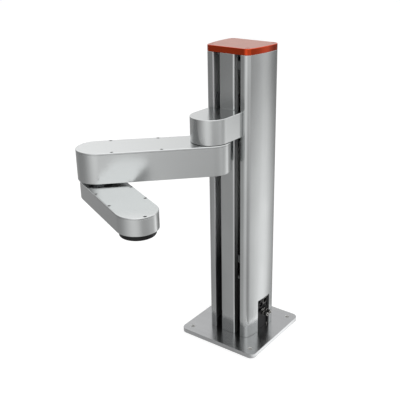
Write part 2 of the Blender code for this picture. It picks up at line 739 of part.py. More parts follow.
def power_inlet(frame):
    """A round flanged inlet with four pins in its cup."""
    back = PANEL_THICK + POWER_DEPTH
    profile = [(0, -PANEL_THICK), (POWER_CAVITY_R, -PANEL_THICK), (POWER_CAVITY_R, POWER_PROUD),
               (POWER_R, POWER_PROUD), (POWER_R, POWER_FLANGE_T), (POWER_FLANGE_R, POWER_FLANGE_T),
               (POWER_FLANGE_R, SEAT_GAP), (POWER_R, SEAT_GAP), (POWER_R, -back), (0, -back)]
    inlet = turned("power_inlet", profile, (0, POWER_Y, POWER_Z), frame, OUTWARD, INNER_ROUND)
    pin = cylinder("pin", POWER_CAVITY_R / 8, PANEL_THICK + POWER_PROUD / 2, count=6)
    reach = POWER_CAVITY_R / 2
    pins = repeated("power_pins", pin, [(reach * cos(a), reach * sin(a), -PANEL_THICK - SEAT_GAP)
                                        for a in (pi / 4 + pi / 2 * i for i in range(4))], frame)
    pins.location, pins.rotation_euler = (0, POWER_Y, POWER_Z), OUTWARD
    fuse(inlet, pins)
    finish(inlet, "steel")


def network_socket(frame):
    """A square network jack: a shell round a cavity with a step for the plug's latch."""
    length = SOCKET_PROUD + SOCKET_DEPTH
    socket = block("network_socket", (length, SOCKET_W, SOCKET_H),
                   (SOCKET_PROUD - length / 2, SOCKET_Y, SOCKET_Z - SOCKET_H / 2), frame)
    inner_w, inner_h = SOCKET_W - 2 * SOCKET_WALL, SOCKET_H - 2.5 * SOCKET_WALL
    start = SOCKET_PROUD - SOCKET_DEPTH + SOCKET_WALL
    cavity = block("socket_cavity", (2 * SOCKET_DEPTH, inner_w, inner_h),
                   (start + SOCKET_DEPTH, SOCKET_Y, SOCKET_Z - inner_h / 2 + SOCKET_WALL / 4), frame)
    latch = block("socket_latch", (2 * SOCKET_DEPTH, inner_w / 3, SOCKET_WALL),
                  (start + SOCKET_DEPTH, SOCKET_Y, SOCKET_Z - SOCKET_H / 2 + SOCKET_WALL / 2), frame)
    fuse(cavity, latch)
    cut(socket, cavity)
    finish(socket, "steel")


def signal_socket(frame):
    """A D-shaped signal socket: flange, metal shell and an insulator set back inside it."""
    half_w, half_h, lean = SIGNAL_SHELL_W / 2, SIGNAL_SHELL_H / 2, SIGNAL_SHELL_H / 12
    shell = [(-half_h, -half_w + lean), (half_h, -half_w - lean), (half_h, half_w + lean),
             (-half_h, half_w - lean)]
    hollow = [(x * SIGNAL_HOLLOW, y * SIGNAL_HOLLOW) for x, y in shell]
    flange = rectangle(-SIGNAL_H / 2, -SIGNAL_W / 2, SIGNAL_H / 2, SIGNAL_W / 2, SIGNAL_H / 8)
    socket = slab("signal_socket", [flange], SOCKET_PROUD, (SEAT_GAP, SIGNAL_Y, SIGNAL_Z), frame, OUTWARD)
    fuse(socket, slab("signal_shell", [shell], SIGNAL_PROUD, (SEAT_GAP * 2, SIGNAL_Y, SIGNAL_Z),
                      frame, OUTWARD))
    cut(socket, slab("signal_hollow", [hollow], 2 * SIGNAL_PROUD,
                     (SEAT_GAP + SOCKET_PROUD / 2, SIGNAL_Y, SIGNAL_Z), frame, OUTWARD))
    finish(socket, "steel")


def air_fittings(frame):
    """Two push-in fittings for the gripper's air lines, with their release rings."""
    bore, proud = FITTING_BORE_R, FITTING_PROUD
    profile = [(0, 0), (bore, 0), (bore, proud), (FITTING_R * 0.75, proud),
               (FITTING_R * 0.75, proud * 0.85), (FITTING_R, proud * 0.8), (FITTING_R, proud * 0.3),
               (FITTING_HEX_R, proud * 0.3), (FITTING_HEX_R, SEAT_GAP), (FITTING_R, SEAT_GAP),
               (FITTING_R, -2 * PANEL_THICK), (0, -2 * PANEL_THICK)]
    fitting = turned("fitting", profile, turn=OUTWARD, count=INNER_ROUND // 2)
    spots = [(0, y, FITTING_Z) for y in FITTING_YS]
    finish(copies("air_fitting", fitting, spots, frame), "black plastic")


def panel_screw_holes(frame, width):
    across = width / 2 - PANEL_LAP - PANEL_SCREW_INSET
    levels = (BASE_THICK + PANEL_SCREW_INSET, PANEL_CUT_TOP - PANEL_SCREW_INSET)
    bore = cylinder("screw_hole", PANEL_SCREW_R, 4 * PANEL_THICK, turn=OUTWARD, count=SMALL_ROUND)
    spots = [(-2 * PANEL_THICK, side * across, z) for side in (-1, 1) for z in levels]
    return repeated("screw_holes", bore, spots, frame)


def circuit_board(name, side, kind):
    """A board that stands off the carrier's side wall, with its chips and capacitors."""
    wall = CHANNEL_HALF + CARRIER_WALL
    middle = CARRIER_FACE_Y + CARRIER_LIP_T + RUN_GAP + BOARD_DEPTH / 2
    x = side * (wall + SEAT_GAP + BOARD_STAND_OFF + BOARD_THICK / 2)
    board = block(name, (BOARD_THICK, BOARD_DEPTH, BOARD_H), (x, middle, BOARD_Z))
    reach = BOARD_DEPTH / 2 - BOARD_STAND_OFF
    post = cylinder("post", BOARD_STAND_OFF / 2, BOARD_STAND_OFF + BOARD_THICK / 2,
                    turn=OUTWARD, count=TINY_ROUND)
    start = wall + SEAT_GAP if side > 0 else -wall - SEAT_GAP - BOARD_STAND_OFF - BOARD_THICK / 2
    fuse(board, repeated(name + "_posts", post,
                         [(start, middle + sy * reach, BOARD_Z + z)
                          for sy in (-1, 1) for z in (BOARD_STAND_OFF, BOARD_H - BOARD_STAND_OFF)]))
    chip_x = x + side * (BOARD_THICK / 2 + CHIP_RISE / 2 - SEAT_GAP)
    chip = block("chip", (CHIP_RISE, BOARD_DEPTH * 0.5, BOARD_DEPTH * 0.5))
    rows = int(BOARD_H / BOARD_DEPTH)
    fuse(board, repeated(name + "_chips", chip,
                         [(chip_x, middle, BOARD_Z + BOARD_DEPTH * (i + 0.25)) for i in range(rows)]))
    finish(board, kind)


# Lift screw

def lift_screw(axis):
    """The screw stands between its bearings, with journals turned down at both ends."""
    low = COUPLING_Z + COUPLING_H / 2 + RUN_GAP
    shoulder = LOWER_BLOCK_Z + BEARING_BLOCK_H + RUN_GAP
    neck = UPPER_BLOCK_Z - RUN_GAP
    high = UPPER_BLOCK_Z + BEARING_BLOCK_H + RUN_GAP
    screw = turned("ball_screw", [(0, high), (JOURNAL_R, high), (JOURNAL_R, neck), (SCREW_R, neck),
                                  (SCREW_R, shoulder), (JOURNAL_R, shoulder), (JOURNAL_R, low), (0, low)],
                   parent=axis, count=INNER_ROUND)
    shaft = cylinder("z_motor_shaft", MOTOR_SHAFT_R, COUPLING_Z + COUPLING_H / 2 - MOTOR_TOP,
                     (0, 0, MOTOR_TOP), axis, count=INNER_ROUND)
    middle, half = COUPLING_Z + COUPLING_H / 2, COUPLING_H / 2
    lower, upper = MOTOR_SHAFT_R + SEAT_GAP, JOURNAL_R + SEAT_GAP
    waist = COUPLING_R - RUN_GAP
    coupling = turned("shaft_coupling",
                      [(upper, middle), (upper, middle + half), (COUPLING_R, middle + half),
                       (COUPLING_R, middle + half * 0.2), (waist, middle + half * 0.2),
                       (waist, middle - half * 0.2), (COUPLING_R, middle - half * 0.2),
                       (COUPLING_R, middle - half), (lower, middle - half), (lower, middle)],
                      parent=axis, count=INNER_ROUND, ring=True)
    finish(screw, "steel")
    finish(shaft, "steel")
    finish(coupling, "plain aluminium")


# Carriage

def carriage_outline(inset):
    """A D: flat against the column, half round in front. The shoulder axis is its origin."""
    r, back = CARRIAGE_R - inset, SHOULDER_REACH - CARRIAGE_STAND_OFF - inset
    return [(r, 0), (r, back), (-r, back)] + arc(r, 0, 0, pi, tau, ROUND // 2)[:-1]


def carriage_housing(axis):
    housing = slab("carriage_housing", [carriage_outline(0.0)], CARRIAGE_H, (0, 0, CARRIAGE_Z), axis)
    soften(housing, CARRIAGE_H, CARRIAGE_EDGE_R)
    room = CARRIAGE_H - CARRIAGE_ROOF
    cut(housing, slab("carriage_room", [carriage_outline(CARRIAGE_WALL)], 2 * room,
                      (0, 0, CARRIAGE_Z - room), axis))
    way = WEB_THICK + 2 * SEAT_GAP
    for side in (-1, 1):
        cut(housing, block("web_way", (way, 4 * CARRIAGE_WALL, 2 * (WEB_H + SEAT_GAP)),
                           (side * WEB_X, SHOULDER_REACH - CARRIAGE_STAND_OFF - CARRIAGE_WALL,
                            CARRIAGE_Z - WEB_H - SEAT_GAP), axis))
    finish(housing, "satin aluminium")


def lift_bracket(axis):
    """One casting: the slide plate in the column, two webs through the slots, the drive's floor."""
    face, front = SLIDE_FACE_Y - SHOULDER_Y, SLIDE_FRONT_Y - SHOULDER_Y
    width = 2 * (RAIL_X + BLOCK_W / 2)
    bracket = block("lift_bracket", (width, SLIDE_THICK, SLIDE_H),
                    (0, (face + front) / 2, SLIDE_MID_Z - SLIDE_H / 2), axis)
    start = SHOULDER_REDUCER_R + RUN_GAP
    floor = slab("bracket_floor", [carriage_outline(CARRIAGE_WALL + SEAT_GAP),
                                   circle(SHOULDER_OUTPUT_R + RUN_GAP, count=INNER_ROUND)],
                 CARRIAGE_FLOOR, (0, 0, CARRIAGE_Z), axis)
    reach = (front + face) / 2 - start
    for side in (-1, 1):
        fuse(bracket, block("web", (WEB_THICK, reach, WEB_H),
                            (side * WEB_X, start + reach / 2, CARRIAGE_Z), axis))
    fuse(bracket, floor)
    finish(bracket, "satin aluminium")


def guide_blocks(axis):
    """Four blocks that wrap the rails and are screwed to the slide plate's back."""
    height = BLOCK_RISE - BLOCK_SKIRT
    half, groove = BLOCK_W / 2, RAIL_W / 2 + SEAT_GAP
    depth = RAIL_H + SEAT_GAP * 2 - BLOCK_SKIRT
    outline = [(-half, 0), (half, 0), (half, height), (groove, height), (groove, height - depth),
               (-groove, height - depth), (-groove, height), (-half, height)]
    sample = slab("guide_block", [outline], BLOCK_L)
    top, bottom = SLIDE_MID_Z + SLIDE_H / 2 - BLOCK_L, SLIDE_MID_Z - SLIDE_H / 2
    spots = [(sx * RAIL_X, SLIDE_FACE_Y + SEAT_GAP - SHOULDER_Y, z) for sx in (-1, 1)
             for z in (bottom, top)]
    finish(copies("guide_block", sample, spots, axis), "steel")


def ball_nut(axis):
    half, y = NUT_HOUSING_HALF, SCREW_Y - SHOULDER_Y
    base = SLIDE_MID_Z - NUT_HOUSING_H / 2
    front = SLIDE_FACE_Y + SEAT_GAP - SHOULDER_Y
    housing = slab("nut_housing", [rectangle(-half, front, half, y + half, 0.002),
                                   circle(NUT_R + SEAT_GAP, 0, y, INNER_ROUND)], NUT_HOUSING_H,
                   (0, 0, base), axis)
    bore, top = SCREW_R + RUN_GAP / 2, NUT_HOUSING_H + SEAT_GAP + NUT_FLANGE_H
    nut = turned("ball_nut", [(bore, top), (NUT_FLANGE_R, top), (NUT_FLANGE_R, top - NUT_FLANGE_H),
                              (NUT_R, top - NUT_FLANGE_H), (NUT_R, 0), (bore, 0)],
                 (0, y, base), axis, count=INNER_ROUND, ring=True)
    finish(housing, "plain aluminium")
    finish(nut, "steel")


def shoulder_drive(axis):
    """A strain-wave reducer on the bracket's floor and a flat motor on top of it."""
    level = CARRIAGE_Z + CARRIAGE_FLOOR + SEAT_GAP
    reducer = stepped_drum("shoulder_reducer", SHOULDER_REDUCER_R, SHOULDER_REDUCER_H, level, axis)
    motor = stepped_drum("shoulder_motor", SHOULDER_MOTOR_R, SHOULDER_MOTOR_H,
                         level + SHOULDER_REDUCER_H + SEAT_GAP, axis)
    finish(reducer, "steel")
    finish(motor, "black anodised")


def stepped_drum(name, radius, height, level, parent, at_x=0.0):
    """A closed round unit with a flange at its foot and a softened top edge."""
    neck, chamfer = radius - COLUMN_WALL / 2, height * 0.08
    return turned(name, [(0, height), (neck - chamfer, height), (neck, height - chamfer),
                         (neck, height * 0.3), (radius, height * 0.3), (radius, 0), (0, 0)],
                  (at_x, 0, level), parent, count=INNER_ROUND)


# Arms

def arm_shell(name, length, radius, height, wall, floor, cover, parent):
    """An arm's tub: floor and walls, with a hollow boss at the near end up to the arm's top."""
    rim = height - cover - SEAT_GAP
    shell = slab(name, [stadium(length, radius)], rim, parent=parent)
    soften(shell, 0.0, ARM_EDGE_R)
    cut(shell, slab(name + "_room", [stadium(length, radius - wall)], rim, (0, 0, floor), parent))
    return shell


def add_boss(shell, radius, height, floor, parent):
    """The round seat that the drive above bolts to, bored for the cables."""
    fuse(shell, cylinder(shell.name + "_boss", radius, height - floor / 2, (0, 0, floor / 2), parent,
                         count=INNER_ROUND))
    cut(shell, cylinder(shell.name + "_boss_bore", BOSS_BORE_R, height, (0, 0, floor), parent,
                        count=INNER_ROUND))


def arm_cover(name, length, radius, height, cover, boss_r, parent):
    plate = slab(name, [stadium(length, radius), circle(boss_r + SEAT_GAP, count=INNER_ROUND)],
                 cover, (0, 0, height - cover), parent)
    soften_outer_rim(plate, cover, ARM_EDGE_R, boss_r + RUN_GAP)
    return plate


def soften_outer_rim(piece, level, width, keep_r):
    """Rounds the rim at the given height, apart from the hole round the origin."""
    bm = bmesh.new()
    bm.from_mesh(piece.data)
    rim = [e for e in bm.edges
           if all(abs(v.co.z - level) < 1e-6 and hypot(v.co.x, v.co.y) > keep_r for v in e.verts)
           and len(e.link_faces) == 2 and e.calc_face_angle() > radians(40)]
    bmesh.ops.bevel(bm, geom=rim, offset=width, segments=2, profile=0.5, affect="EDGES",
                    clamp_overlap=True)
    bm.to_mesh(piece.data)
    bm.free()


def cover_screw_seats(shell, cover, spots, height, parent):
    """Countersunk seats in the cover, over tapped holes in the shell's wall."""
    level = height - COVER_SCREW_HEAD_H - SEAT_GAP
    seat = turned("cover_seat", screw_hole(COVER_SCREW_HEAD_R, COVER_SCREW_HEAD_H, COVER_SCREW_R,
                                           COVER_SCREW_L), count=TINY_ROUND)
    seats = repeated(shell.name + "_screw_seats", seat, [(x, y, level) for x, y in spots], parent)
    cut(cover, seats)
    hole = shell.modifiers.new("screw holes", "BOOLEAN")
    hole.operation = "DIFFERENCE"
    hole.object = seats


def upper_arm(axis):
    shell = arm_shell("upper_arm_housing", UPPER_L, UPPER_R, UPPER_H, UPPER_WALL, UPPER_FLOOR,
                      UPPER_COVER, axis)
    add_boss(shell, SHOULDER_OUTPUT_R, UPPER_H, UPPER_FLOOR, axis)
    cut(shell, cylinder("elbow_bore", ELBOW_OUTPUT_R + RUN_GAP, 2 * UPPER_FLOOR,
                        (UPPER_L, 0, -UPPER_FLOOR / 2), axis, count=INNER_ROUND))
    cover = arm_cover("upper_arm_cover", UPPER_L, UPPER_R, UPPER_H, UPPER_COVER, SHOULDER_OUTPUT_R, axis)
    side = UPPER_R - COVER_SCREW_INSET
    cover_screw_seats(shell, cover, [(x, s * side) for x in UPPER_SCREW_X for s in (-1, 1)], UPPER_H,
                      axis)
    output = cylinder("shoulder_output", SHOULDER_OUTPUT_R, SHOULDER_GAP + CARRIAGE_FLOOR - SEAT_GAP,
                      (0, 0, UPPER_H + SEAT_GAP), axis, count=INNER_ROUND)
    level = UPPER_FLOOR + SEAT_GAP
    reducer = stepped_drum("elbow_reducer", ELBOW_REDUCER_R, ELBOW_REDUCER_H, level, axis, UPPER_L)
    motor = stepped_drum("elbow_motor", ELBOW_MOTOR_R, ELBOW_MOTOR_H,
                         level + ELBOW_REDUCER_H + SEAT_GAP, axis, UPPER_L)
    finish(shell, "satin aluminium")
    finish(cover, "satin aluminium")
    finish(output, "steel")
    finish(reducer, "steel")
    finish(motor, "black anodised")


def forearm(axis):
    shell = arm_shell("forearm_housing", FORE_L, FORE_R, FORE_H, FORE_WALL, FORE_FLOOR, FORE_COVER, axis)
    add_boss(shell, ELBOW_OUTPUT_R, FORE_H, FORE_FLOOR, axis)
    seat_top = WRIST_LIP + SEAT_GAP + WRIST_BEARING_H
    fuse(shell, cylinder("wrist_seat", WRIST_SEAT_R, seat_top - FORE_FLOOR / 2,
                         (FORE_L, 0, FORE_FLOOR / 2), axis, count=INNER_ROUND))
    cut(shell, cylinder("wrist_seat_bore", WRIST_BEARING_R + SEAT_GAP, FORE_H, (FORE_L, 0, WRIST_LIP),
                        axis, count=INNER_ROUND))
    cut(shell, cylinder("wrist_way", WRIST_SHAFT_R + 3 * RUN_GAP, FORE_H, (FORE_L, 0, -FORE_H / 2),
                        axis, count=INNER_ROUND))
    cover = arm_cover("forearm_cover", FORE_L, FORE_R, FORE_H, FORE_COVER, ELBOW_OUTPUT_R, axis)
    side = FORE_R - COVER_SCREW_INSET
    spots = [(x, s * side) for x in FORE_SCREW_X for s in (-1, 1)] + [(FORE_L + side, 0)]
    cover_screw_seats(shell, cover, spots, FORE_H, axis)
    output = cylinder("elbow_output", ELBOW_OUTPUT_R, ELBOW_GAP + UPPER_FLOOR - SEAT_GAP,
                      (0, 0, FORE_H + SEAT_GAP), axis, count=INNER_ROUND)
    inner, top = WRIST_SHAFT_R + SEAT_GAP, WRIST_BEARING_H
    bearing = turned("wrist_bearing", [(inner, top), (WRIST_BEARING_R, top), (WRIST_BEARING_R, 0),
                                       (inner, 0)], (FORE_L, 0, WRIST_LIP + SEAT_GAP), axis,
                     count=INNER_ROUND, ring=True)
    motor = stepped_drum("wrist_motor", WRIST_MOTOR_R, WRIST_MOTOR_H, FORE_FLOOR + SEAT_GAP, axis,
                         FORE_L - BELT_CENTRES)
    finish(shell, "satin aluminium")
    finish(cover, "satin aluminium")
    finish(output, "steel")
    finish(bearing, "steel")
    finish(motor, "black anodised")


# Wrist drive

def pitch_radius(teeth):
    return teeth * BELT_PITCH / tau


def pulley_outline(teeth):
    """A toothed belt pulley: each tooth is a flat tip and a flat root joined by slanted flanks."""
    tip = pitch_radius(teeth) - BELT_T / 4
    root = tip - TOOTH_DEPTH
    step = tau / teeth
    shape = ((0.10, tip), (0.40, tip), (0.58, root), (0.92, root))
    return [(r * cos(step * (i + f)), r * sin(step * (i + f))) for i in range(teeth) for f, r in shape]


def timing_belt(axis):
    """The belt's loop: two arcs round the pulleys and the two straight runs tangent to both."""
    small, large = (pitch_radius(t) - BELT_T / 4 + SEAT_GAP for t in (MOTOR_TEETH, FLANGE_TEETH))
    lean = asin((large - small) / BELT_CENTRES)

    def loop(grow):
        far, near = large + grow, small + grow
        return (arc(far, BELT_CENTRES, 0, -pi / 2 - lean, pi / 2 + lean, INNER_ROUND)
                + arc(near, 0, 0, pi / 2 + lean, 3 * pi / 2 - lean, SMALL_ROUND))

    belt = slab("timing_belt", [loop(BELT_T), loop(0.0)], BELT_W,
                (FORE_L - BELT_CENTRES, 0, BELT_Z), axis)
    finish(belt, "rubber")


def wrist_pulleys(motor_axis, tool_axis):
    small = slab("motor_pulley", [pulley_outline(MOTOR_TEETH)], PULLEY_H, (0, 0, PULLEY_Z), motor_axis)
    hub = WRIST_SHAFT_R + SEAT_GAP
    large = slab("output_pulley", [pulley_outline(FLANGE_TEETH), circle(hub, count=INNER_ROUND)], PULLEY_H,
                 (0, 0, PULLEY_Z), tool_axis)
    shaft_top = PULLEY_Z + PULLEY_H + SEAT_GAP
    collar = PULLEY_Z - SEAT_GAP
    floor = WRIST_LIP + SEAT_GAP * 2 + WRIST_BEARING_H
    step = WRIST_SHAFT_R + 2 * RUN_GAP
    shaft = turned("output_shaft", [(WRIST_BORE_R, shaft_top), (WRIST_SHAFT_R, shaft_top),
                                    (WRIST_SHAFT_R, collar), (step, collar), (step, floor),
                                    (WRIST_SHAFT_R, floor), (WRIST_SHAFT_R, -FLANGE_REST),
                                    (WRIST_BORE_R, -FLANGE_REST)], parent=tool_axis,
                   count=INNER_ROUND, ring=True)
    finish(small, "plain aluminium")
    finish(large, "plain aluminium")
    finish(shaft, "steel")


# Tool flange

def tool_flange(axis):
    """A black ring with a pilot bore and four holes for a gripper, hollow for its cables."""
    top, bottom = -FLANGE_REST - SEAT_GAP, -FLANGE_REST - SEAT_GAP - FLANGE_H
    edge = arc(FLANGE_EDGE_R, FLANGE_R - FLANGE_EDGE_R, bottom + FLANGE_EDGE_R, 0.0, -pi / 2, 2)
    profile = ([(WRIST_BORE_R, top), (FLANGE_R, top)] + edge
               + [(FLANGE_PILOT_R, bottom), (FLANGE_PILOT_R, bottom + FLANGE_PILOT_DEPTH),
                  (WRIST_BORE_R, bottom + FLANGE_PILOT_DEPTH)])
    flange = turned("tool_flange", profile, parent=axis, ring=True)
    hole = cylinder("tool_hole", FLANGE_HOLE_R, FLANGE_HOLE_DEPTH + RUN_GAP, count=SMALL_ROUND)
    spots = [(FLANGE_PITCH_R * cos(a), FLANGE_PITCH_R * sin(a), bottom - RUN_GAP)
             for a in (pi / 4 + pi / 2 * i for i in range(4))]
    cut(flange, repeated("tool_holes", hole, spots, axis))
    finish(flange, "black anodised")


# Assembly

base_plate()
column_casing()
front_strip()
rail_carrier()
guide_rails()
lift_motor()
screw_bearings()
top_plate()
column_cap()
lamp_board()

frame, panel_width = panel_frame()
connector_panel(frame, panel_width)
power_inlet(frame)
network_socket(frame)
signal_socket(frame)
air_fittings(frame)
circuit_board("controller_board", 1, "circuit board")
circuit_board("driver_board", -1, "circuit board")

screw_axis = axis_at("screw_axis", (0, SCREW_Y, 0))
lift_screw(screw_axis)

carriage_axis = axis_at("carriage_axis", (0, SHOULDER_Y, 0))
carriage_housing(carriage_axis)
lift_bracket(carriage_axis)
guide_blocks(carriage_axis)
ball_nut(carriage_axis)
shoulder_drive(carriage_axis)

shoulder_axis = axis_at("shoulder_axis", (0, SHOULDER_Y, UPPER_Z), turn=radians(SHOULDER_ANGLE - 90))
upper_arm(shoulder_axis)
elbow_axis = axis_at("elbow_axis", (UPPER_L, 0, FORE_Z - UPPER_Z), shoulder_axis, radians(ELBOW_ANGLE))
forearm(elbow_axis)
timing_belt(elbow_axis)
wrist_motor_axis = axis_at("wrist_motor_axis", (FORE_L - BELT_CENTRES, 0, 0), elbow_axis)
wrist_axis = axis_at("wrist_axis", (FORE_L, 0, 0), elbow_axis)
wrist_pulleys(wrist_motor_axis, wrist_axis)
tool_flange(wrist_axis)
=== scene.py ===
import bpy
import numpy as np
from mathutils import Matrix, Vector
from mathutils.geometry import tessellate_polygon


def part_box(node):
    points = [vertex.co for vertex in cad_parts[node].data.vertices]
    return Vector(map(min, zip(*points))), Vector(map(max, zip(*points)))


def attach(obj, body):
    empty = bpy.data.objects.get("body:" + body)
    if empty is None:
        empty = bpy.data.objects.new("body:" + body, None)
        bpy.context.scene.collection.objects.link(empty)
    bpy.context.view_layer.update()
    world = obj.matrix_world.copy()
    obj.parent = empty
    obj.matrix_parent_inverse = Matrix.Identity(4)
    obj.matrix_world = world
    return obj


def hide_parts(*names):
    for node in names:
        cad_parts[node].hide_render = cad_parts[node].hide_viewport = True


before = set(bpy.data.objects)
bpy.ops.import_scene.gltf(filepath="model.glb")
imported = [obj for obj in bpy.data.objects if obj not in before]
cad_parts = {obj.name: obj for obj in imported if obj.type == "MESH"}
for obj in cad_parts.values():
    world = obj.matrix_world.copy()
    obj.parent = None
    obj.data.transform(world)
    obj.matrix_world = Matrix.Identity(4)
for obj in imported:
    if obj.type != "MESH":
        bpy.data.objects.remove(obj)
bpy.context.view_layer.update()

scene = bpy.context.scene


# The studio: a pale floor under an even pale sky. The floor and the sky are white to the eye. In
# metal they show as a white sweep that is brighter to the right and dimmer at the front left, as
# in a studio that is lit from one side.

def linear(code):
    """sRGB hex to linear: a channel v is v/12.92 below 0.04045, and ((v+0.055)/1.055)^2.4 above."""
    v = np.array([int(code[i:i + 2], 16) / 255 for i in (0, 2, 4)])
    return (*np.where(v <= 0.04045, v / 12.92, ((v + 0.055) / 1.055) ** 2.4).tolist(), 1.0)


def add(tree, kind, inputs={}, stops=(), **settings):
    """Adds a node. Inputs are values, sockets or nodes by input name or number, and stops are the
    places and shades of a colour ramp."""
    node = tree.nodes.new(kind)
    for name, value in settings.items():
        setattr(node, name, value)
    for name, value in inputs.items():
        if isinstance(value, bpy.types.Node):
            value = value.outputs[0]
        if isinstance(value, bpy.types.NodeSocket):
            tree.links.new(value, node.inputs[name])
        else:
            node.inputs[name].default_value = value
    for i, (place, shade) in enumerate(stops):
        band = node.color_ramp.elements
        stop = band[i] if i < len(band) else band.new(1.0)
        stop.position = place
        stop.color = linear(shade) if isinstance(shade, str) else (shade, shade, shade, 1.0)
    return node


# Brightness of that sweep by compass angle in degrees: the floor within 0.3 m of the middle, the
# floor from 3 m out, the floor right beside the base plate, which its edges mirror, and the sky.
NEAR = ((-180, 0.40), (-160, 0.32), (-140, 0.34), (-126, 0.39), (-112, 0.48), (-98, 0.56),
        (-83, 0.60), (-67, 0.60), (-53, 0.52), (-39, 0.36), (-10, 0.40), (5, 0.50), (18, 0.58),
        (30, 0.76), (42, 1.02), (50, 1.14), (58, 1.00), (65, 0.54), (72, 0.42), (85, 0.40),
        (130, 0.40), (180, 0.40))
FAR = ((-180, 0.30), (-160, 0.26), (-140, 0.26), (-126, 0.27), (-112, 0.38), (-98, 0.60),
       (-83, 0.88), (-67, 0.94), (-53, 0.78), (-39, 0.60), (-10, 0.62), (5, 0.66), (18, 0.44),
       (30, 0.36), (40, 0.50), (47, 0.66), (54, 0.56), (62, 0.24), (70, 0.26), (85, 0.28),
       (130, 0.30), (180, 0.30))
CLOSE = ((-180, 0.74), (-62, 0.74), (-48, 1.90), (60, 1.90), (74, 0.60), (180, 0.60))
SKY_SWEEP = ((-180, 0.60), (-162, 0.31), (-110, 0.31), (-85, 0.65), (-60, 1.30), (-33, 1.55),
             (-10, 1.15), (20, 1.05), (55, 1.25), (92, 0.90), (126, 0.87), (140, 1.08), (165, 0.90),
             (180, 0.60))


def sweep(tree, x, y, levels):
    """Brightness of the sweep by compass angle: atan2(y, x), read from a ramp that holds half of
    each level, because a ramp ends at 1."""
    angle = add(tree, "ShaderNodeMath", {0: y, 1: x}, operation="ARCTAN2")
    turn = add(tree, "ShaderNodeMapRange", {"Value": angle, "From Min": -np.pi, "From Max": np.pi})
    ramp = add(tree, "ShaderNodeValToRGB", {"Fac": turn},
               stops=[((a + 180) / 360, level / 2) for a, level in levels])
    ramp.color_ramp.interpolation = "CARDINAL"
    return add(tree, "ShaderNodeMath", {0: ramp, 1: 2.0}, operation="MULTIPLY")


SKY_FILL = 0.72                     # what the sky adds to a plain colour
OVERHEAD = 1.35                     # how bright the top of the sky is in metal
SWEEP_CENTRE = (0.05, -0.02, 0.0)   # the place on the floor that the sweep turns about
FLOOR_GLOW = 1.3                    # keeps the floor white next to the object
world = bpy.data.worlds.new("studio_sky")
world.use_nodes = True
scene.world = world
tree = world.node_tree
sky = tree.nodes["Background"]
ray = add(tree, "ShaderNodeLightPath")
way = add(tree, "ShaderNodeSeparateXYZ", {0: add(tree, "ShaderNodeTexCoord").outputs["Generated"]})
# Height changes it too: it steps up a little above the horizon, and passes into the overhead sky.
climb = add(tree, "ShaderNodeMapRange", {"Value": way.outputs[2], "From Min": 0.6, "From Max": 0.85},
            interpolation_type="SMOOTHSTEP")
lift = add(tree, "ShaderNodeMapRange", {"Value": way.outputs[2], "From Min": 0.31, "From Max": 0.385,
                                        "To Max": 0.17})
low = add(tree, "ShaderNodeMath", {0: sweep(tree, *way.outputs[:2], SKY_SWEEP), 1: lift},
          operation="ADD")
shine = add(tree, "ShaderNodeMix", {"Factor": climb.outputs[0], "A": low, "B": OVERHEAD})
gloss = add(tree, "ShaderNodeMath", {0: shine, 1: SKY_FILL}, operation="SUBTRACT")
seen = add(tree, "ShaderNodeMath", {0: ray.outputs["Is Camera Ray"],
                                    1: ray.outputs["Is Transmission Ray"]}, operation="MAXIMUM")
plain = add(tree, "ShaderNodeMath", {0: seen, 1: 1 - SKY_FILL, 2: SKY_FILL},
            operation="MULTIPLY_ADD")
light = add(tree, "ShaderNodeMath", {0: ray.outputs["Is Glossy Ray"], 1: gloss, 2: plain},
            operation="MULTIPLY_ADD")
sky.inputs["Color"].default_value = linear("ffffff")
tree.links.new(light.outputs[0], sky.inputs["Strength"])

bpy.ops.mesh.primitive_plane_add(size=16, location=(0, 0, -0.0006))
floor = bpy.context.object
floor.name = "studio_floor"
pale = bpy.data.materials.new("pale studio floor")
pale.use_nodes = True
tree = pale.node_tree
board = tree.nodes["Principled BSDF"]
board.inputs["Roughness"].default_value = 0.9
board.inputs["Specular IOR Level"].default_value = 0.0
ray = add(tree, "ShaderNodeLightPath")
spot = add(tree, "ShaderNodeTexCoord").outputs["Object"]
aim = add(tree, "ShaderNodeVectorMath", {0: spot, 1: SWEEP_CENTRE}, operation="SUBTRACT")
axes = add(tree, "ShaderNodeSeparateXYZ", {0: aim})
reach = add(tree, "ShaderNodeVectorMath", {0: spot}, operation="LENGTH").outputs["Value"]
reach = add(tree, "ShaderNodeMapRange", {"Value": reach, "From Min": 0.3, "From Max": 3.0})
shade = add(tree, "ShaderNodeMix", {"Factor": reach, "A": sweep(tree, *axes.outputs[:2], NEAR),
                                    "B": sweep(tree, *axes.outputs[:2], FAR)})
sides = add(tree, "ShaderNodeSeparateXYZ", {0: add(tree, "ShaderNodeVectorMath", {0: spot},
                                                   operation="ABSOLUTE")})
beside = add(tree, "ShaderNodeMath", {0: sides.outputs[0], 1: sides.outputs[1]}, operation="MAXIMUM")
beside = add(tree, "ShaderNodeMapRange", {"Value": beside, "From Min": 0.110, "From Max": 0.125})
shade = add(tree, "ShaderNodeMix", {"Factor": beside, "A": sweep(tree, *axes.outputs[:2], CLOSE),
                                    "B": shade})
shine = add(tree, "ShaderNodeMix", {"Factor": ray.outputs["Is Glossy Ray"], "A": 1.0, "B": shade})
paint = add(tree, "ShaderNodeMath", {0: shine, 1: 0.5}, operation="MULTIPLY")
tint = add(tree, "ShaderNodeCombineColor", {0: paint, 1: paint, 2: paint})
tree.links.new(tint.outputs[0], board.inputs["Base Color"])
tree.links.new(tint.outputs[0], board.inputs["Emission Color"])
seen = add(tree, "ShaderNodeMath", {0: ray.outputs["Is Camera Ray"],
                                    1: ray.outputs["Is Transmission Ray"]}, operation="MAXIMUM")
seen = add(tree, "ShaderNodeMath", {0: seen, 1: ray.outputs["Is Glossy Ray"]}, operation="MAXIMUM")
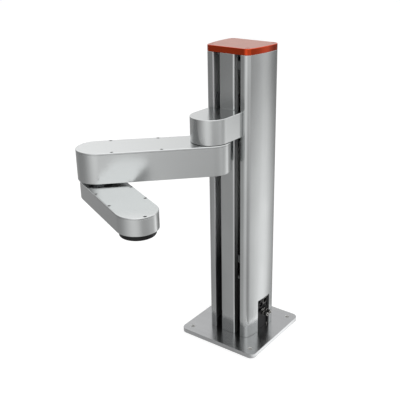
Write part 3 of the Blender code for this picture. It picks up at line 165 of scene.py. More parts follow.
glow = add(tree, "ShaderNodeMath", {0: seen, 1: FLOOR_GLOW}, operation="MULTIPLY")
tree.links.new(glow.outputs[0], board.inputs["Emission Strength"])
floor.data.materials.append(pale)

for name, place, size, power in (("key", (1.5, -1.1, 1.9), 1.2, 12.0),
                                 ("fill", (-1.7, -1.3, 1.6), 1.4, 5.0),
                                 ("back", (-0.6, 1.9, 1.7), 1.2, 6.0)):
    lamp = bpy.data.objects.new(name, bpy.data.lights.new(name, "AREA"))
    lamp.data.size, lamp.data.energy = size, power
    lamp.location = place
    lamp.visible_glossy = False
    lamp.rotation_euler = (Vector((0, 0, 0.3)) - Vector(place)).to_track_quat("-Z", "Y").to_euler()
    scene.collection.objects.link(lamp)

camera = bpy.data.objects.new("camera", bpy.data.cameras.new("camera"))
camera.data.lens, camera.data.sensor_width = 59.59, 36.0
camera.data.shift_x, camera.data.shift_y = -0.0907, -0.0218
camera.location = (0.76052, -1.11704, 0.87289)
camera.rotation_euler = np.radians((68.53, 0.0, 34.68))
scene.collection.objects.link(camera)
scene.camera = camera
scene.view_settings.view_transform = "Standard"


# Base plate: aluminium plate, milled all over with a rounded corner and a broken edge. Four bolts
# through its corner holes hold the robot to a bench.

def arc(radius, x, y, start, end, count):
    """Points at equal angles on a circle, from start to end in degrees, both included."""
    a = np.radians(np.linspace(start, end, count + 1))[:, None]
    return np.hstack([x + radius * np.cos(a), y + radius * np.sin(a)])


def circle(radius, x=0.0, y=0.0, count=48):
    """A whole circle by equal angles, anticlockwise."""
    return arc(radius, x, y, 0, 360, count)[:-1]


def rounded(x0, y0, x1, y1, corner, count=8):
    """A rectangle with a quarter circle at each corner, anticlockwise."""
    return np.vstack([arc(corner, x1 - corner, y0 + corner, -90, 0, count),
                      arc(corner, x1 - corner, y1 - corner, 0, 90, count),
                      arc(corner, x0 + corner, y1 - corner, 90, 180, count),
                      arc(corner, x0 + corner, y0 + corner, 180, 270, count)])


GUARD = 0.0004          # how far a guard point stands from the end of its run
BREAK = 0.0003          # a sharp edge broken by hand
FINE = 0.0002           # a smaller one, at small bores and thin rims


def guarded(outline):
    """Each long straight run that meets a curve gets a point close to that end, so that the run
    shades flat. A point counts as on a curve where the outline turns less than 30 degrees."""
    run = np.roll(outline, -1, 0) - outline
    length = np.linalg.norm(run, axis=1)
    way = run / length[:, None]
    soft = (way * np.roll(way, 1, 0)).sum(1) > np.cos(np.radians(30))
    long = length > 10 * GUARD
    points = np.stack([outline, outline + way * GUARD, outline + run - way * GUARD], 1)
    return points[np.stack([np.ones_like(long), long & soft, long & np.roll(soft, -1)], 1)]


def walls(outline, profile):
    """Rings of a wall: at each inset and height of the profile the outline moves along its corner
    bisectors, into the solid, by the inset, and stands at that height."""
    run = np.roll(outline, -1, 0) - outline
    out = np.stack([run[:, 1], -run[:, 0]], 1) / np.linalg.norm(run, axis=1, keepdims=True)
    both = out + np.roll(out, 1, 0)
    bisector = 2 * both / (both * both).sum(1, keepdims=True)
    inset, height = np.array(profile, float).T
    flat = outline - inset[:, None, None] * bisector
    return np.concatenate([flat, np.broadcast_to(height[:, None, None], (*flat.shape[:2], 1))], 2)


def top_rim(level, radius, count=5):
    """Insets and heights up a wall and over a rounded top edge: r(1-cos a) in and r(sin a - 1) up."""
    a = np.radians(np.linspace(0, 90, count + 1))
    rim = np.stack([radius * (1 - np.cos(a)), level + radius * (np.sin(a) - 1)], 1).tolist()
    return [(0, level - radius - GUARD), *rim, (radius + GUARD, level)]


def low_rim(level, radius, count=5):
    """The same round under a wall's foot, from the underside outwards."""
    return [(inset, 2 * level - height) for inset, height in reversed(top_rim(level, radius, count))]


def solid(name, skins, caps, place=Matrix()):
    """A closed body from grids of points. A skin's rows are rings, joined row to row by
    four-cornered faces that look out where the ring runs anticlockwise and the rows climb. A cap
    fills the flat inside its first end ring and outside the others, and looks up (1) or down (-1)."""
    sizes = [skin.shape[0] * skin.shape[1] for skin in skins]
    first = np.cumsum([0, *sizes])
    ids = [np.arange(a, b).reshape(skin.shape[:2]) for a, b, skin in zip(first, first[1:], skins)]
    points = np.vstack([skin.reshape(-1, 3) for skin in skins])
    sides = np.vstack([np.stack([i[:-1], np.roll(i, -1, 1)[:-1], np.roll(i, -1, 1)[1:], i[1:]], -1)
                       .reshape(-1, 4) for i in ids]).tolist()
    flats = []
    for look, ends in caps:
        loops = [ids[skin][end] for skin, end in ends]
        found = tessellate_polygon([points[loop].tolist() for loop in loops])
        three = np.concatenate(loops)[np.array(found)]
        a, b, c = points[three].transpose(1, 0, 2)[:, :, :2]
        turn = (b - a)[:, 0] * (c - a)[:, 1] - (b - a)[:, 1] * (c - a)[:, 0]
        flats += np.where((turn * look > 0)[:, None], three, three[:, ::-1]).tolist()
    mesh = bpy.data.meshes.new(name)
    mesh.from_pydata(points.tolist(), [], sides + flats)
    mesh.polygons.foreach_set("use_smooth", np.arange(len(mesh.polygons)) < len(sides))
    mesh.transform(place)
    mesh.set_sharp_from_angle(angle=np.radians(32))
    body = bpy.data.objects.new(name, mesh)
    scene.collection.objects.link(body)
    return body


def through_ends(count=1):
    """Caps for a wall and the holes right through it: one flat below and one above."""
    return [(-1, [(i, 0) for i in range(count)]), (1, [(i, -1) for i in range(count)])]


def surface(name, code, metallic, roughness):
    """A new material with one colour, metallic and roughness on its shader, and its node tree."""
    material = bpy.data.materials.new(name)
    material.use_nodes = True
    shader = material.node_tree.nodes["Principled BSDF"]
    shader.inputs["Base Color"].default_value = linear(code)
    shader.inputs["Metallic"].default_value = metallic
    shader.inputs["Roughness"].default_value = roughness
    return material, material.node_tree, shader


def grain(tree, size, detail=3.0):
    """Noise over the object's own place, with spots of the given size in metres, on all axes alike
    or on each."""
    place = add(tree, "ShaderNodeTexCoord").outputs["Object"]
    scale = [1 / s for s in np.broadcast_to(size, 3).tolist()]
    place = add(tree, "ShaderNodeMapping", {"Vector": place, "Scale": scale})
    return add(tree, "ShaderNodeTexNoise", {"Vector": place, "Scale": 1.0, "Detail": detail}).outputs[0]


def vary(tree, shader, pattern, rough=None, shades=None, relief=None):
    """Lets a pattern that runs from about 0.3 to 0.7 lead the roughness and the colour between two
    values each. Relief is the strength and the depth, in metres, of bumps that follow it."""
    if rough:
        dull = add(tree, "ShaderNodeMapRange", {"Value": pattern, "From Min": 0.3, "From Max": 0.7,
                                                "To Min": rough[0], "To Max": rough[1]})
        tree.links.new(dull.outputs[0], shader.inputs["Roughness"])
    if shades:
        shade = add(tree, "ShaderNodeValToRGB", {"Fac": pattern}, stops=zip((0.3, 0.7), shades))
        tree.links.new(shade.outputs[0], shader.inputs["Base Color"])
    if relief:
        bump = add(tree, "ShaderNodeBump", {"Height": pattern, "Strength": relief[0],
                                            "Distance": relief[1]})
        tree.links.new(bump.outputs[0], shader.inputs["Normal"])


def finish_faces(piece, finishes, chosen):
    """Gives the piece two finishes: the second goes on faces that chosen picks by centre and normal."""
    for finish in finishes:
        piece.data.materials.append(finish)
    faces = piece.data.polygons
    centres, normals = np.empty((2, len(faces), 3), np.float32)
    faces.foreach_get("center", centres.ravel())
    faces.foreach_get("normal", normals.ravel())
    faces.foreach_set("material_index", chosen(centres, normals).astype(np.int32))


PLATE, PLATE_T, PLATE_CORNER, PLATE_EDGE = 0.200, 0.010, 0.014, 0.0006
BOLT_PITCH, BOLT_HOLE_R = 0.160, 0.0045

# Aluminium plate, face-milled and satin anodised: the cutter leaves faint straight passes 12 mm
# wide, so that the reflection wavers a little from pass to pass.
milled_aluminium, tree, shader = surface("milled aluminium", "a7a8a9", 1.0, 0.24)
vary(tree, shader, grain(tree, (0.3, 0.012, 0.3), 1.0), rough=(0.23, 0.25),
     shades=("a5a6a7", "a9aaab"))

# The same metal on the walls of the bolt holes: bare and duller, and painted paler, a painted light that
# stands in for the bright floor that shows through them.
hole_wall_painted_light_aluminium, tree, shader = surface("hole wall aluminium with painted light", "d4d4d2", 0.35, 0.5)
vary(tree, shader, grain(tree, (0.004, 0.004, 0.0006)), rough=(0.42, 0.6))

half, pitch = PLATE / 2, BOLT_PITCH / 2
corners = [(x, y) for y in (-pitch, pitch) for x in (-pitch, pitch)]
edge = guarded(rounded(-half, -half, half, half, PLATE_CORNER, 12))
skins = [walls(edge, low_rim(0.0, PLATE_EDGE, 3) + top_rim(PLATE_T, PLATE_EDGE, 3))]
skins += [walls(circle(BOLT_HOLE_R, x, y, 32)[::-1],
                [(0.0004, 0), (0, 0.0004), (0, PLATE_T - 0.0005), (0.0005, PLATE_T)])
          for x, y in corners]
base = solid("machined_base_plate", skins, through_ends(5))
finish_faces(base, (milled_aluminium, hole_wall_painted_light_aluminium),
             lambda c, n: (abs(n[:, 2]) < 0.95) & (np.hypot(*(abs(c[:, :2]) - pitch).T) < 0.006))
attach(base, "column")
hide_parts("base_plate")


# Column: one hollow aluminium extrusion with bowed sides, two slots down its front and a screw
# port in each corner. A window is cut low in its right side for the connectors.

DEPTH, FRONT_W, BACK_W, BULGE, CORNER_R, WALL = 0.104, 0.1006, 0.1166, 0.0052, 0.0128, 0.004
COLUMN_FOOT, COLUMN_TOP, SLOT_X, LIP_R = 0.0103, 0.649, 0.0335, 0.0007
PORT_R, PORT_BORE_R, PORT_OFF = 0.0052, 0.0026, 0.0046
chord = np.hypot((BACK_W - FRONT_W) / 2, DEPTH)
SIDE_R = (chord ** 2 / 4 + BULGE ** 2) / (2 * BULGE)
side_x = (FRONT_W + BACK_W) / 4 - (SIDE_R - BULGE) * DEPTH / chord
side_y = (SIDE_R - BULGE) * (BACK_W - FRONT_W) / 2 / chord
end_y = DEPTH / 2 - CORNER_R
end_x = [side_x + np.sqrt((SIDE_R - CORNER_R) ** 2 - (s * end_y - side_y) ** 2) for s in (-1, 1)]
lean = [np.degrees(np.arctan2(s * end_y - side_y, x - side_x)) for s, x in zip((-1, 1), end_x)]
PORTS = [(sx * (x + PORT_OFF / np.sqrt(2)), s * (end_y + PORT_OFF / np.sqrt(2)))
         for s, x in zip((-1, 1), end_x) for sx in (-1, 1)]


def mirrored(points):
    """The points, and then the same with x turned to -x, in the opposite order."""
    return np.vstack([points, points[::-1] * (-1, 1)])


def right_side(inset):
    """Front corner, bowed side and back corner: three arcs that meet in line."""
    return np.vstack([arc(CORNER_R - inset, end_x[0], -end_y, -90, lean[0], 14),
                      arc(SIDE_R - inset, side_x, side_y, *lean, 24)[1:],
                      arc(CORNER_R - inset, end_x[1], end_y, lean[1], 90, 14)[1:]])


def right_lining(inset):
    """The inner side of the wall. At each corner the arc breaks off where the screw port's circle
    meets it, and follows the port round its inner side."""
    inner = CORNER_R - inset
    gap = np.degrees(np.arccos((PORT_OFF ** 2 + inner ** 2 - PORT_R ** 2) / (2 * PORT_OFF * inner)))
    swing = np.degrees(np.arccos((inner * np.cos(np.radians(gap)) - PORT_OFF) / PORT_R))
    parts = []
    for mid, x, y, start, end in ((-45, end_x[0], -end_y, -90, lean[0]),
                                  (45, end_x[1], end_y, lean[1], 90)):
        off = PORT_OFF / np.sqrt(2)
        parts += [arc(inner, x, y, start, mid - gap, 5)[:-1],
                  arc(PORT_R, x + off, y + np.sign(mid) * off, mid - swing, mid + swing - 360, 20),
                  arc(inner, x, y, mid + gap, end, 5)[1:]]
    parts.insert(3, arc(SIDE_R - inset, side_x, side_y, *lean, 12)[1:-1])
    return np.vstack(parts)


# Aluminium extruded through a die and satin anodised: fine straight lines run the whole length, a
# few tenths of a millimetre wide, here 0.9 mm so that they show.
DIE_LINES = (0.0009, 0.0009, 0.5)
extruded_aluminium, tree, shader = surface("extruded aluminium", "c9cbcb", 1.0, 0.22)
vary(tree, shader, grain(tree, DIE_LINES, 2.0), rough=(0.17, 0.25), relief=(0.01, 0.00001))
vary(tree, shader, grain(tree, (0.05, 0.05, 0.12), 2.0), shades=("c5c7c7", "cdcfcf"))


def shade_towards_foot(tree, shader, low, high):
    """Painted shade: the colour climbs evenly with the height, from one shade at 0.165 m to another at
    0.325 m.
    """
    rise = add(tree, "ShaderNodeSeparateXYZ", {0: add(tree, "ShaderNodeTexCoord").outputs["Object"]})
    shade = add(tree, "ShaderNodeValToRGB", {"Fac": rise.outputs[2]},
                stops=[(0.165, low), (0.325, high)])
    tree.links.new(shade.outputs[0], shader.inputs["Base Color"])


# The same extrusion on its inner faces, which nobody brushes: dull, and painted pale as painted light,
# so that they catch light through the slots. A painted shade darkens them towards the foot.
inner_aluminium_painted_light_shade, tree, shader = surface("unbrushed extruded aluminium", "e2e4e4", 0.10, 0.6)
vary(tree, shader, grain(tree, DIE_LINES, 2.0), rough=(0.5, 0.65))
shade_towards_foot(tree, shader, "545556", "e2e4e4")


lip = arc(LIP_R, SLOT_X + LIP_R, -DEPTH / 2 + LIP_R, 180, 270, 4)
path = np.vstack([mirrored(np.vstack([lip, right_side(0.0)])),
                  mirrored(np.vstack([[(SLOT_X, -DEPTH / 2 + WALL)], right_lining(WALL)]))[::-1]])
ends = [(BREAK, COLUMN_FOOT), (0, COLUMN_FOOT + BREAK), (0, COLUMN_TOP - BREAK), (BREAK, COLUMN_TOP)]
bored = [(0, COLUMN_FOOT), (0, COLUMN_TOP)]
above_window = [(0, 0.0925), (0, 0.095)]    # keeps the long faces clear of the cut
skins = [walls(guarded(path), ends[:2] + above_window + ends[2:])]
skins += [walls(circle(PORT_BORE_R, x, y, 16)[::-1], bored) for x, y in PORTS]
column = solid("extruded_column", skins, through_ends(5))

WINDOW_Y, WINDOW_TOP, WINDOW_R = (-0.015, 0.029), 0.091, 0.0015
hole = solid("window_cutter", [walls(rounded(-WINDOW_TOP, WINDOW_Y[0], 0.02, WINDOW_Y[1], WINDOW_R),
                                     [(0, 0.045), (0, 0.075)])], through_ends(),
             Matrix.Rotation(np.pi / 2, 4, "Y"))


def cut_away(piece, cutter):
    """Takes the cutter's form out of the piece for good, and the cutter goes."""
    saw = piece.modifiers.new("cut", "BOOLEAN")
    saw.object, saw.operation, saw.solver = cutter, "DIFFERENCE", "EXACT"
    bpy.context.view_layer.update()
    mesh = bpy.data.meshes.new_from_object(piece.evaluated_get(bpy.context.evaluated_depsgraph_get()))
    mesh.set_sharp_from_angle(angle=np.radians(32))
    piece.modifiers.clear()
    piece.data = mesh
    bpy.data.objects.remove(cutter, do_unlink=True)


cut_away(column, hole)     # then the inner finish goes on faces that look to the column's middle
finish_faces(column, (extruded_aluminium, inner_aluminium_painted_light_shade),
             lambda c, n: (c[:, :2] * n[:, :2]).sum(1) < -0.01)
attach(column, "column")
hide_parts("column_casing")


# Front strip: a shallow aluminium channel between the slots, extruded like the column, with
# well-rounded edges. It is screwed to the top plate and stands on the base plate.

STRIP_W, STRIP_T, STRIP_FLANGE, STRIP_R = 0.037, 0.003, 0.014, 0.004
front = -DEPTH / 2
half = STRIP_W / 2
outer = np.vstack([[(-half, front + STRIP_FLANGE)],
                   arc(STRIP_R, STRIP_R - half, front + STRIP_R, 180, 270, 10),
                   arc(STRIP_R, half - STRIP_R, front + STRIP_R, -90, 0, 10),
                   [(half, front + STRIP_FLANGE)]])
inner_r = STRIP_R - STRIP_T
inner = np.vstack([[(STRIP_T - half, front + STRIP_FLANGE)],
                   arc(inner_r, STRIP_R - half, front + STRIP_R, 180, 270, 5),
                   arc(inner_r, half - STRIP_R, front + STRIP_R, -90, 0, 5),
                   [(half - STRIP_T, front + STRIP_FLANGE)]])
strip = solid("extruded_front_strip", [walls(guarded(np.vstack([outer, inner[::-1]])), ends)],
              through_ends())

# Its flanges inside the slots: unbrushed too, but painted darker all over than the column's inside as
# painted shade, and darkest towards the foot, where the painted shade deepens.
flange_painted_shade_aluminium, tree, shader = surface("extruded aluminium with painted shade", "949696", 0.15, 0.6)
vary(tree, shader, grain(tree, DIE_LINES, 2.0), rough=(0.5, 0.65))
shade_towards_foot(tree, shader, "3b3c3c", "949696")
finish_faces(strip, (extruded_aluminium, flange_painted_shade_aluminium),
             lambda c, n: (c[:, 1] > front + STRIP_R + 0.001) & (np.abs(n[:, 2]) < 0.5))
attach(strip, "column")
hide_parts("front_strip")


# Amber cap: moulded polycarbonate with a polished rim and a top painted pale pink as a painted sheen,
# hollow under a thick roof so that the lamps below can light it. Four screws go down through it into
# the column's ports.

CAP_FOOT, CAP_H, CAP_ROOF, CAP_WALL, CAP_EDGE = 0.6493, 0.0127, 0.0045, 0.0035, 0.0012
SEAT_R, SEAT_DEEP, SHANK_R = 0.0045, 0.0036, 0.0026
cap_top = CAP_FOOT + CAP_H
outline = mirrored(right_side(0.0))
lining = mirrored(right_lining(CAP_WALL))
skins = [walls(guarded(outline), [(BREAK, CAP_FOOT), (0, CAP_FOOT + BREAK),
                                  (0, CAP_FOOT + 2 * GUARD), *top_rim(cap_top, CAP_EDGE, 6)]),
         walls(lining[::-1], [(0, CAP_FOOT), (0, cap_top - CAP_ROOF)])]
skins += [walls(circle(SHANK_R, x, y, 24)[::-1],
                [(0, CAP_FOOT), (0, cap_top - SEAT_DEEP), (SEAT_R - SHANK_R, cap_top - SEAT_DEEP),
                 (SEAT_R - SHANK_R, cap_top - FINE), (SEAT_R - SHANK_R + FINE, cap_top)])
          for x, y in PORTS]
seats = range(2, 6)
cap = solid("amber_cap", skins, [(-1, [(0, 0), (1, 0)] + [(i, 0) for i in seats]),
                                 (-1, [(1, -1)]), (1, [(0, -1)] + [(i, -1) for i in seats])])

# Amber polycarbonate, moulded in a polished tool. Light goes deep into it and comes back orange, so
# the rim shows the room in its own colour, as a coloured metal would, under a thin clear gloss.
amber_polycarbonate, tree, shader = surface("amber polycarbonate", "cc4214", 0.97, 0.12)
shader.inputs["Coat Weight"].default_value = 0.3
shader.inputs["Coat Roughness"].default_value = 0.08
vary(tree, shader, grain(tree, 0.03, 2.0), shades=("c63f12", "d24516"))

# The same plastic on its flat top, matt and painted pale pink: a painted sheen in place of the sky's
# reflection on it.
top_sheen_polycarbonate, tree, shader = surface("amber polycarbonate with painted top sheen", "bc8a7e", 0.0, 0.45)
vary(tree, shader, grain(tree, 0.03, 2.0), shades=("b8877b", "c08d81"))
finish_faces(cap, (amber_polycarbonate, top_sheen_polycarbonate),
             lambda c, n: (c[:, 2] > cap_top - 0.0001) & (n[:, 2] > 0.9))
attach(cap, "column")
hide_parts("indicator_cap")


def hexagon(flats, x=0.0, y=0.0, count=24):
    """A hexagon by its width across flats: radius is half of it over cos of the angle from the
    nearest flat's middle."""
    a = np.arange(count) * 2 * np.pi / count
    r = flats / 2 / np.cos((a + np.pi / 6) % (np.pi / 3) - np.pi / 6)
    return np.stack([x + r * np.cos(a), y + r * np.sin(a)], 1)


def cup_ends(i=0):
    """Caps for wall i with the blind bore i + 1 from above: its foot, its top and the bore's floor."""
    return [(-1, [(i, 0)]), (1, [(i, -1), (i + 1, -1)]), (1, [(i + 1, 0)])]


def socket_screws(name, spots, level, size, place=Matrix()):
    """Socket head screws whose heads' undersides are at the level: a turned shank and head with a
    broken edge, and a hexagon socket half way down the head. The size is the head's radius and
    height, the shank's radius and length, and the width of the key."""
    head_r, head_h, shank_r, length, key = size
    skins, caps = [], []
    top, break_edge, grow = level + head_h, head_h * 0.12, shank_r - head_r
    for i, (x, y) in enumerate(spots):
        skins.append(walls(circle(shank_r, x, y, 24),
                           [(shank_r * 0.3, level - length), (0, level - length + shank_r * 0.3),
                            (0, level), (grow, level), (grow, top - break_edge),
                            (grow + break_edge, top)]))
        skins.append(walls(hexagon(key, x, y)[::-1], [(0, top - head_h * 0.55), (0, top)]))
        caps += cup_ends(2 * i)
    return solid(name, skins, caps, place)


# Stainless steel screws, turned and left bright, a little dulled by handling.
stainless_steel, tree, shader = surface("stainless steel", "9d9c99", 1.0, 0.3)
vary(tree, shader, grain(tree, 0.0008), rough=(0.22, 0.38))

CAP_SCREW, CAP_SCREW_DEEP = (0.0042, 0.003, 0.0023, 0.022, 0.0025), 0.0033
screws = socket_screws("cap_socket_screws", PORTS, cap_top - CAP_SCREW_DEEP, CAP_SCREW)
screws.data.materials.append(stainless_steel)
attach(screws, "column")
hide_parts("cap_screw_1", "cap_screw_2", "cap_screw_3", "cap_screw_4")


# Carriage housing: a D-shaped aluminium cup, milled from solid and bead blasted, that hides the
# shoulder drive. Two ways in its back pass the webs of the lift bracket.

SHOULDER_Y, CARRIAGE_Z, CARRIAGE_H, CARRIAGE_R = -0.109, 0.486, 0.051, 0.0398
CARRIAGE_WALL, CARRIAGE_BACK, RIM_R = 0.004, 0.056, 0.0012
WEB_X, WEB_WAY, WEB_TOP = 0.026, 0.0126, 0.0468
at_carriage = Matrix.Translation((0, SHOULDER_Y, CARRIAGE_Z))
outline = guarded(np.vstack([[(CARRIAGE_R, CARRIAGE_BACK), (-CARRIAGE_R, CARRIAGE_BACK)],
                             arc(CARRIAGE_R, 0, 0, 180, 360, 48)]))
r, back = CARRIAGE_R - CARRIAGE_WALL, CARRIAGE_BACK - CARRIAGE_WALL
lining = np.vstack([[(r, back), (-r, back)], arc(r, 0, 0, 180, 360, 48)])
skins = [walls(outline, [(BREAK, 0), (0, BREAK), (0, BREAK + GUARD), *top_rim(CARRIAGE_H, RIM_R)]),
         walls(lining[::-1], [(0, 0), (0, CARRIAGE_H - CARRIAGE_WALL)])]
carriage = solid("carriage_cup", skins, [(-1, [(0, 0), (1, 0)]), (-1, [(1, -1)]), (1, [(0, -1)])],
                 at_carriage)
for side in (-1, 1):
    way = rounded(side * WEB_X - WEB_WAY / 2, back - 0.002, side * WEB_X + WEB_WAY / 2,
                  CARRIAGE_BACK + 0.002, 0.0002, 1)
    cut_away(carriage, solid("web_cutter", [walls(way, [(0, -0.002), (0, WEB_TOP)])], through_ends(),
                             at_carriage))

# Aluminium, milled, blasted with glass beads and satin anodised: an even silver with no direction,
# whose reflections are soft. The beads leave dimples of about 0.1 mm, here 0.4 mm so that they show.
blasted_aluminium, tree, shader = surface("blasted aluminium", "cdcfcf", 1.0, 0.27)
vary(tree, shader, grain(tree, 0.045, 2.0), rough=(0.18, 0.21))
vary(tree, shader, grain(tree, 0.0004), shades=("cacccc", "d1d3d3"), relief=(0.01, 0.00001))
carriage.data.materials.append(blasted_aluminium)
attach(carriage, "carriage")
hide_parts("carriage_housing")


# Upper arm: a milled and blasted aluminium tub with round ends. A hollow boss at its near end
# bolts to the shoulder drive, and its far floor is bored for the elbow drive's output.

UPPER_L, UPPER_R, UPPER_H, UPPER_Z, UPPER_TURN = 0.220, 0.0419, 0.0618, 0.4234, np.radians(-134)
UPPER_WALL, UPPER_FLOOR, UPPER_LID, SEAM = 0.006, 0.006, 0.004, 0.0003
BOSS_R, BOSS_BORE_R, ELBOW_BORE_R, SCREW_IN = 0.027, 0.014, 0.0245, 0.004
at_upper = Matrix.Translation((0, SHOULDER_Y, UPPER_Z)) @ Matrix.Rotation(UPPER_TURN, 4, "Z")


def stadium(length, radius, count=40):
    """Half circles round the far and the near end, joined by straight runs, anticlockwise."""
    return guarded(np.vstack([arc(radius, length, 0, -90, 90, count),
                              arc(radius, 0, 0, 90, 270, count)]))


def screw_bores(spots, level, deep=0.007, radius=0.0017, count=12):
    """Blind bores for the lid's screws, with a broken edge at the top."""
    return [walls(circle(radius, x, y, count)[::-1],
                  [(0, level - deep), (0, level - FINE), (FINE, level)]) for x, y in spots]


def tub(length, radius, rim, top, wall, floor, boss_r):
    """Walls of a tub with round ends, outside and inside, and of the hollow boss at its near end,
    which stands up through the lid."""
    return [walls(stadium(length, radius), [*low_rim(0, RIM_R), (0, rim - FINE), (FINE, rim)]),
            walls(stadium(length, radius - wall)[::-1], [(0, floor), (0, rim)]),
            walls(circle(boss_r), [(0, floor), (0, top - BREAK), (BREAK, top)]),
            walls(circle(BOSS_BORE_R)[::-1], [(0, floor), (0, top)])]


upper_spots = [(x, s * (UPPER_R - SCREW_IN)) for x in (0.006, 0.100, 0.194) for s in (-1, 1)]
rim = UPPER_H - UPPER_LID - SEAM
skins = [*tub(UPPER_L, UPPER_R, rim, UPPER_H, UPPER_WALL, UPPER_FLOOR, BOSS_R),
         walls(circle(ELBOW_BORE_R, UPPER_L)[::-1], [(0, 0), (0, UPPER_FLOOR)]),
         *screw_bores(upper_spots, rim)]
bores = range(5, 11)
caps = [(-1, [(0, 0), (4, 0)]), (1, [(1, 0), (2, 0), (4, -1)]), (1, [(3, 0)]),
        (1, [(2, -1), (3, -1)]), (1, [(0, -1), (1, -1)] + [(i, -1) for i in bores])]
caps += [(1, [(i, 0)]) for i in bores]
upper_tub = solid("upper_arm_tub", skins, caps, at_upper)
upper_tub.data.materials.append(blasted_aluminium)
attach(upper_tub, "upper_arm")
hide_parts("upper_arm_housing")


# Upper arm lid: an aluminium plate with the tub's outline and a rounded top edge, let in round the
# shoulder boss and held by six small screws in pairs.

LID_SCREW, LID_SCREW_DEEP = (0.0027, 0.0017, 0.0014, 0.009, 0.0015), 0.0020


def lid(name, length, radius, foot, top, boss_r, spots, place):
    """A plate with a rounded top edge, a hole for the boss, and stepped seats for the screws."""
    bore, step, seat = 0.0017, 0.0013, top - LID_SCREW_DEEP
    seats = [walls(circle(bore, x, y, 20)[::-1],
                   [(0, foot), (0, seat), (step, seat), (step, top - FINE), (step + FINE, top)])
             for x, y in spots]
    skins = [walls(stadium(length, radius), [(BREAK, foot), (0, foot + BREAK),
                                             (0, foot + BREAK + GUARD), *top_rim(top, RIM_R)]),
             walls(circle(boss_r)[::-1], [(0, foot), (0, top - BREAK), (BREAK, top)]), *seats]
    return solid(name, skins, through_ends(len(skins)), place)


upper_lid = lid("upper_arm_lid", UPPER_L, UPPER_R, UPPER_H - UPPER_LID, UPPER_H, BOSS_R + SEAM,
                upper_spots, at_upper)
upper_lid.data.materials.append(blasted_aluminium)
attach(upper_lid, "upper_arm")
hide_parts("upper_arm_cover")

# Alloy steel screws with a black oxide skin, slightly oily: nearly black, with a dull shine.
black_screw_steel, tree, shader = surface("blackened screw steel", "2b2b2d", 0.9, 0.42)
vary(tree, shader, grain(tree, 0.0007), rough=(0.34, 0.5))

screws = socket_screws("upper_arm_lid_screws", upper_spots, UPPER_H - LID_SCREW_DEEP, LID_SCREW,
                       at_upper)
screws.data.materials.append(black_screw_steel)
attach(screws, "upper_arm")


# Forearm: a shallower tub of the same make. Its near boss bolts to the elbow drive, and a bored
# seat at its far end holds the wrist bearing.

FORE_L, FORE_R, FORE_H, FORE_DROP, FORE_TURN = 0.180, 0.0389, 0.0348, 0.0386, np.radians(110)
FORE_WALL, FORE_FLOOR, FORE_LID = 0.005, 0.005, 0.003
FORE_BOSS_R, SEAT_OUT_R, BEARING_SEAT_R, WRIST_WAY_R = 0.0235, 0.026, 0.0213, 0.0155
WRIST_LIP, SEAT_TOP = 0.002, 0.0113
at_fore = (at_upper @ Matrix.Translation((UPPER_L, 0, -FORE_DROP))
           @ Matrix.Rotation(FORE_TURN, 4, "Z"))
side = FORE_R - SCREW_IN
fore_spots = [(x, s * side) for x in (0.072, 0.138) for s in (-1, 1)] + [(FORE_L + side, 0.0)]
rim = FORE_H - FORE_LID - SEAM
skins = [*tub(FORE_L, FORE_R, rim, FORE_H, FORE_WALL, FORE_FLOOR, FORE_BOSS_R),
         walls(circle(SEAT_OUT_R, FORE_L), [(0, FORE_FLOOR), (0, SEAT_TOP - BREAK), (BREAK, SEAT_TOP)]),
         walls(circle(BEARING_SEAT_R, FORE_L)[::-1], [(0, WRIST_LIP), (0, SEAT_TOP)]),
         walls(circle(WRIST_WAY_R, FORE_L)[::-1], [(0, 0), (0, WRIST_LIP)]),
         *screw_bores(fore_spots, rim)]
bores = range(7, 12)
caps = [(-1, [(0, 0), (6, 0)]), (1, [(1, 0), (2, 0), (4, 0)]), (1, [(3, 0)]), (1, [(2, -1), (3, -1)]),
        (1, [(4, -1), (5, -1)]), (1, [(5, 0), (6, -1)]),
        (1, [(0, -1), (1, -1)] + [(i, -1) for i in bores])]
caps += [(1, [(i, 0)]) for i in bores]
fore_tub = solid("forearm_tub", skins, caps, at_fore)
fore_lid = lid("forearm_lid", FORE_L, FORE_R, FORE_H - FORE_LID, FORE_H, FORE_BOSS_R + SEAM,
               fore_spots, at_fore)
screws = socket_screws("forearm_lid_screws", fore_spots, FORE_H - LID_SCREW_DEEP, LID_SCREW,
                       at_fore)
for piece, node in ((fore_tub, "forearm_housing"), (fore_lid, "forearm_cover")):
    piece.data.materials.append(blasted_aluminium)
    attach(piece, "forearm")
    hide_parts(node)
screws.data.materials.append(black_screw_steel)
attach(screws, "forearm")


# Tool flange: a turned aluminium ring, hard anodised black, screwed to the wrist shaft. Its face
# has a pilot bore and four threaded holes for a gripper, and cables pass through its middle.

RING_R, RING_TOP, RING_FOOT, RING_EDGE = 0.0334, -0.0006, -0.0111, 0.0025
PILOT_R, PILOT_DEEP, PILOT_STEP = 0.010, 0.004, 0.002
THREAD_R, THREAD_DEEP, THREAD_CIRCLE_R = 0.0021, 0.008, 0.01575
at_tool = at_fore @ Matrix.Translation((FORE_L, 0, 0))
skins = [walls(circle(RING_R, count=72), [*low_rim(RING_FOOT, RING_EDGE), (0, RING_TOP - BREAK),
                                          (BREAK, RING_TOP)]),
         walls(circle(PILOT_R)[::-1], [(BREAK, RING_FOOT), (0, RING_FOOT + BREAK),
                                       (0, RING_FOOT + PILOT_DEEP),
                                       (PILOT_STEP, RING_FOOT + PILOT_DEEP), (PILOT_STEP, RING_TOP)])]
skins += [walls(circle(THREAD_R, x, y, 20)[::-1],
                [(BREAK, RING_FOOT), (0, RING_FOOT + BREAK), (0, RING_FOOT + THREAD_DEEP)])
          for x, y in arc(THREAD_CIRCLE_R, 0, 0, 45, 315, 3)]
caps = [(-1, [(i, 0) for i in range(6)]), (1, [(0, -1), (1, -1)])]
caps += [(-1, [(i, -1)]) for i in range(2, 6)]
ring = solid("tool_ring", skins, caps, at_tool)

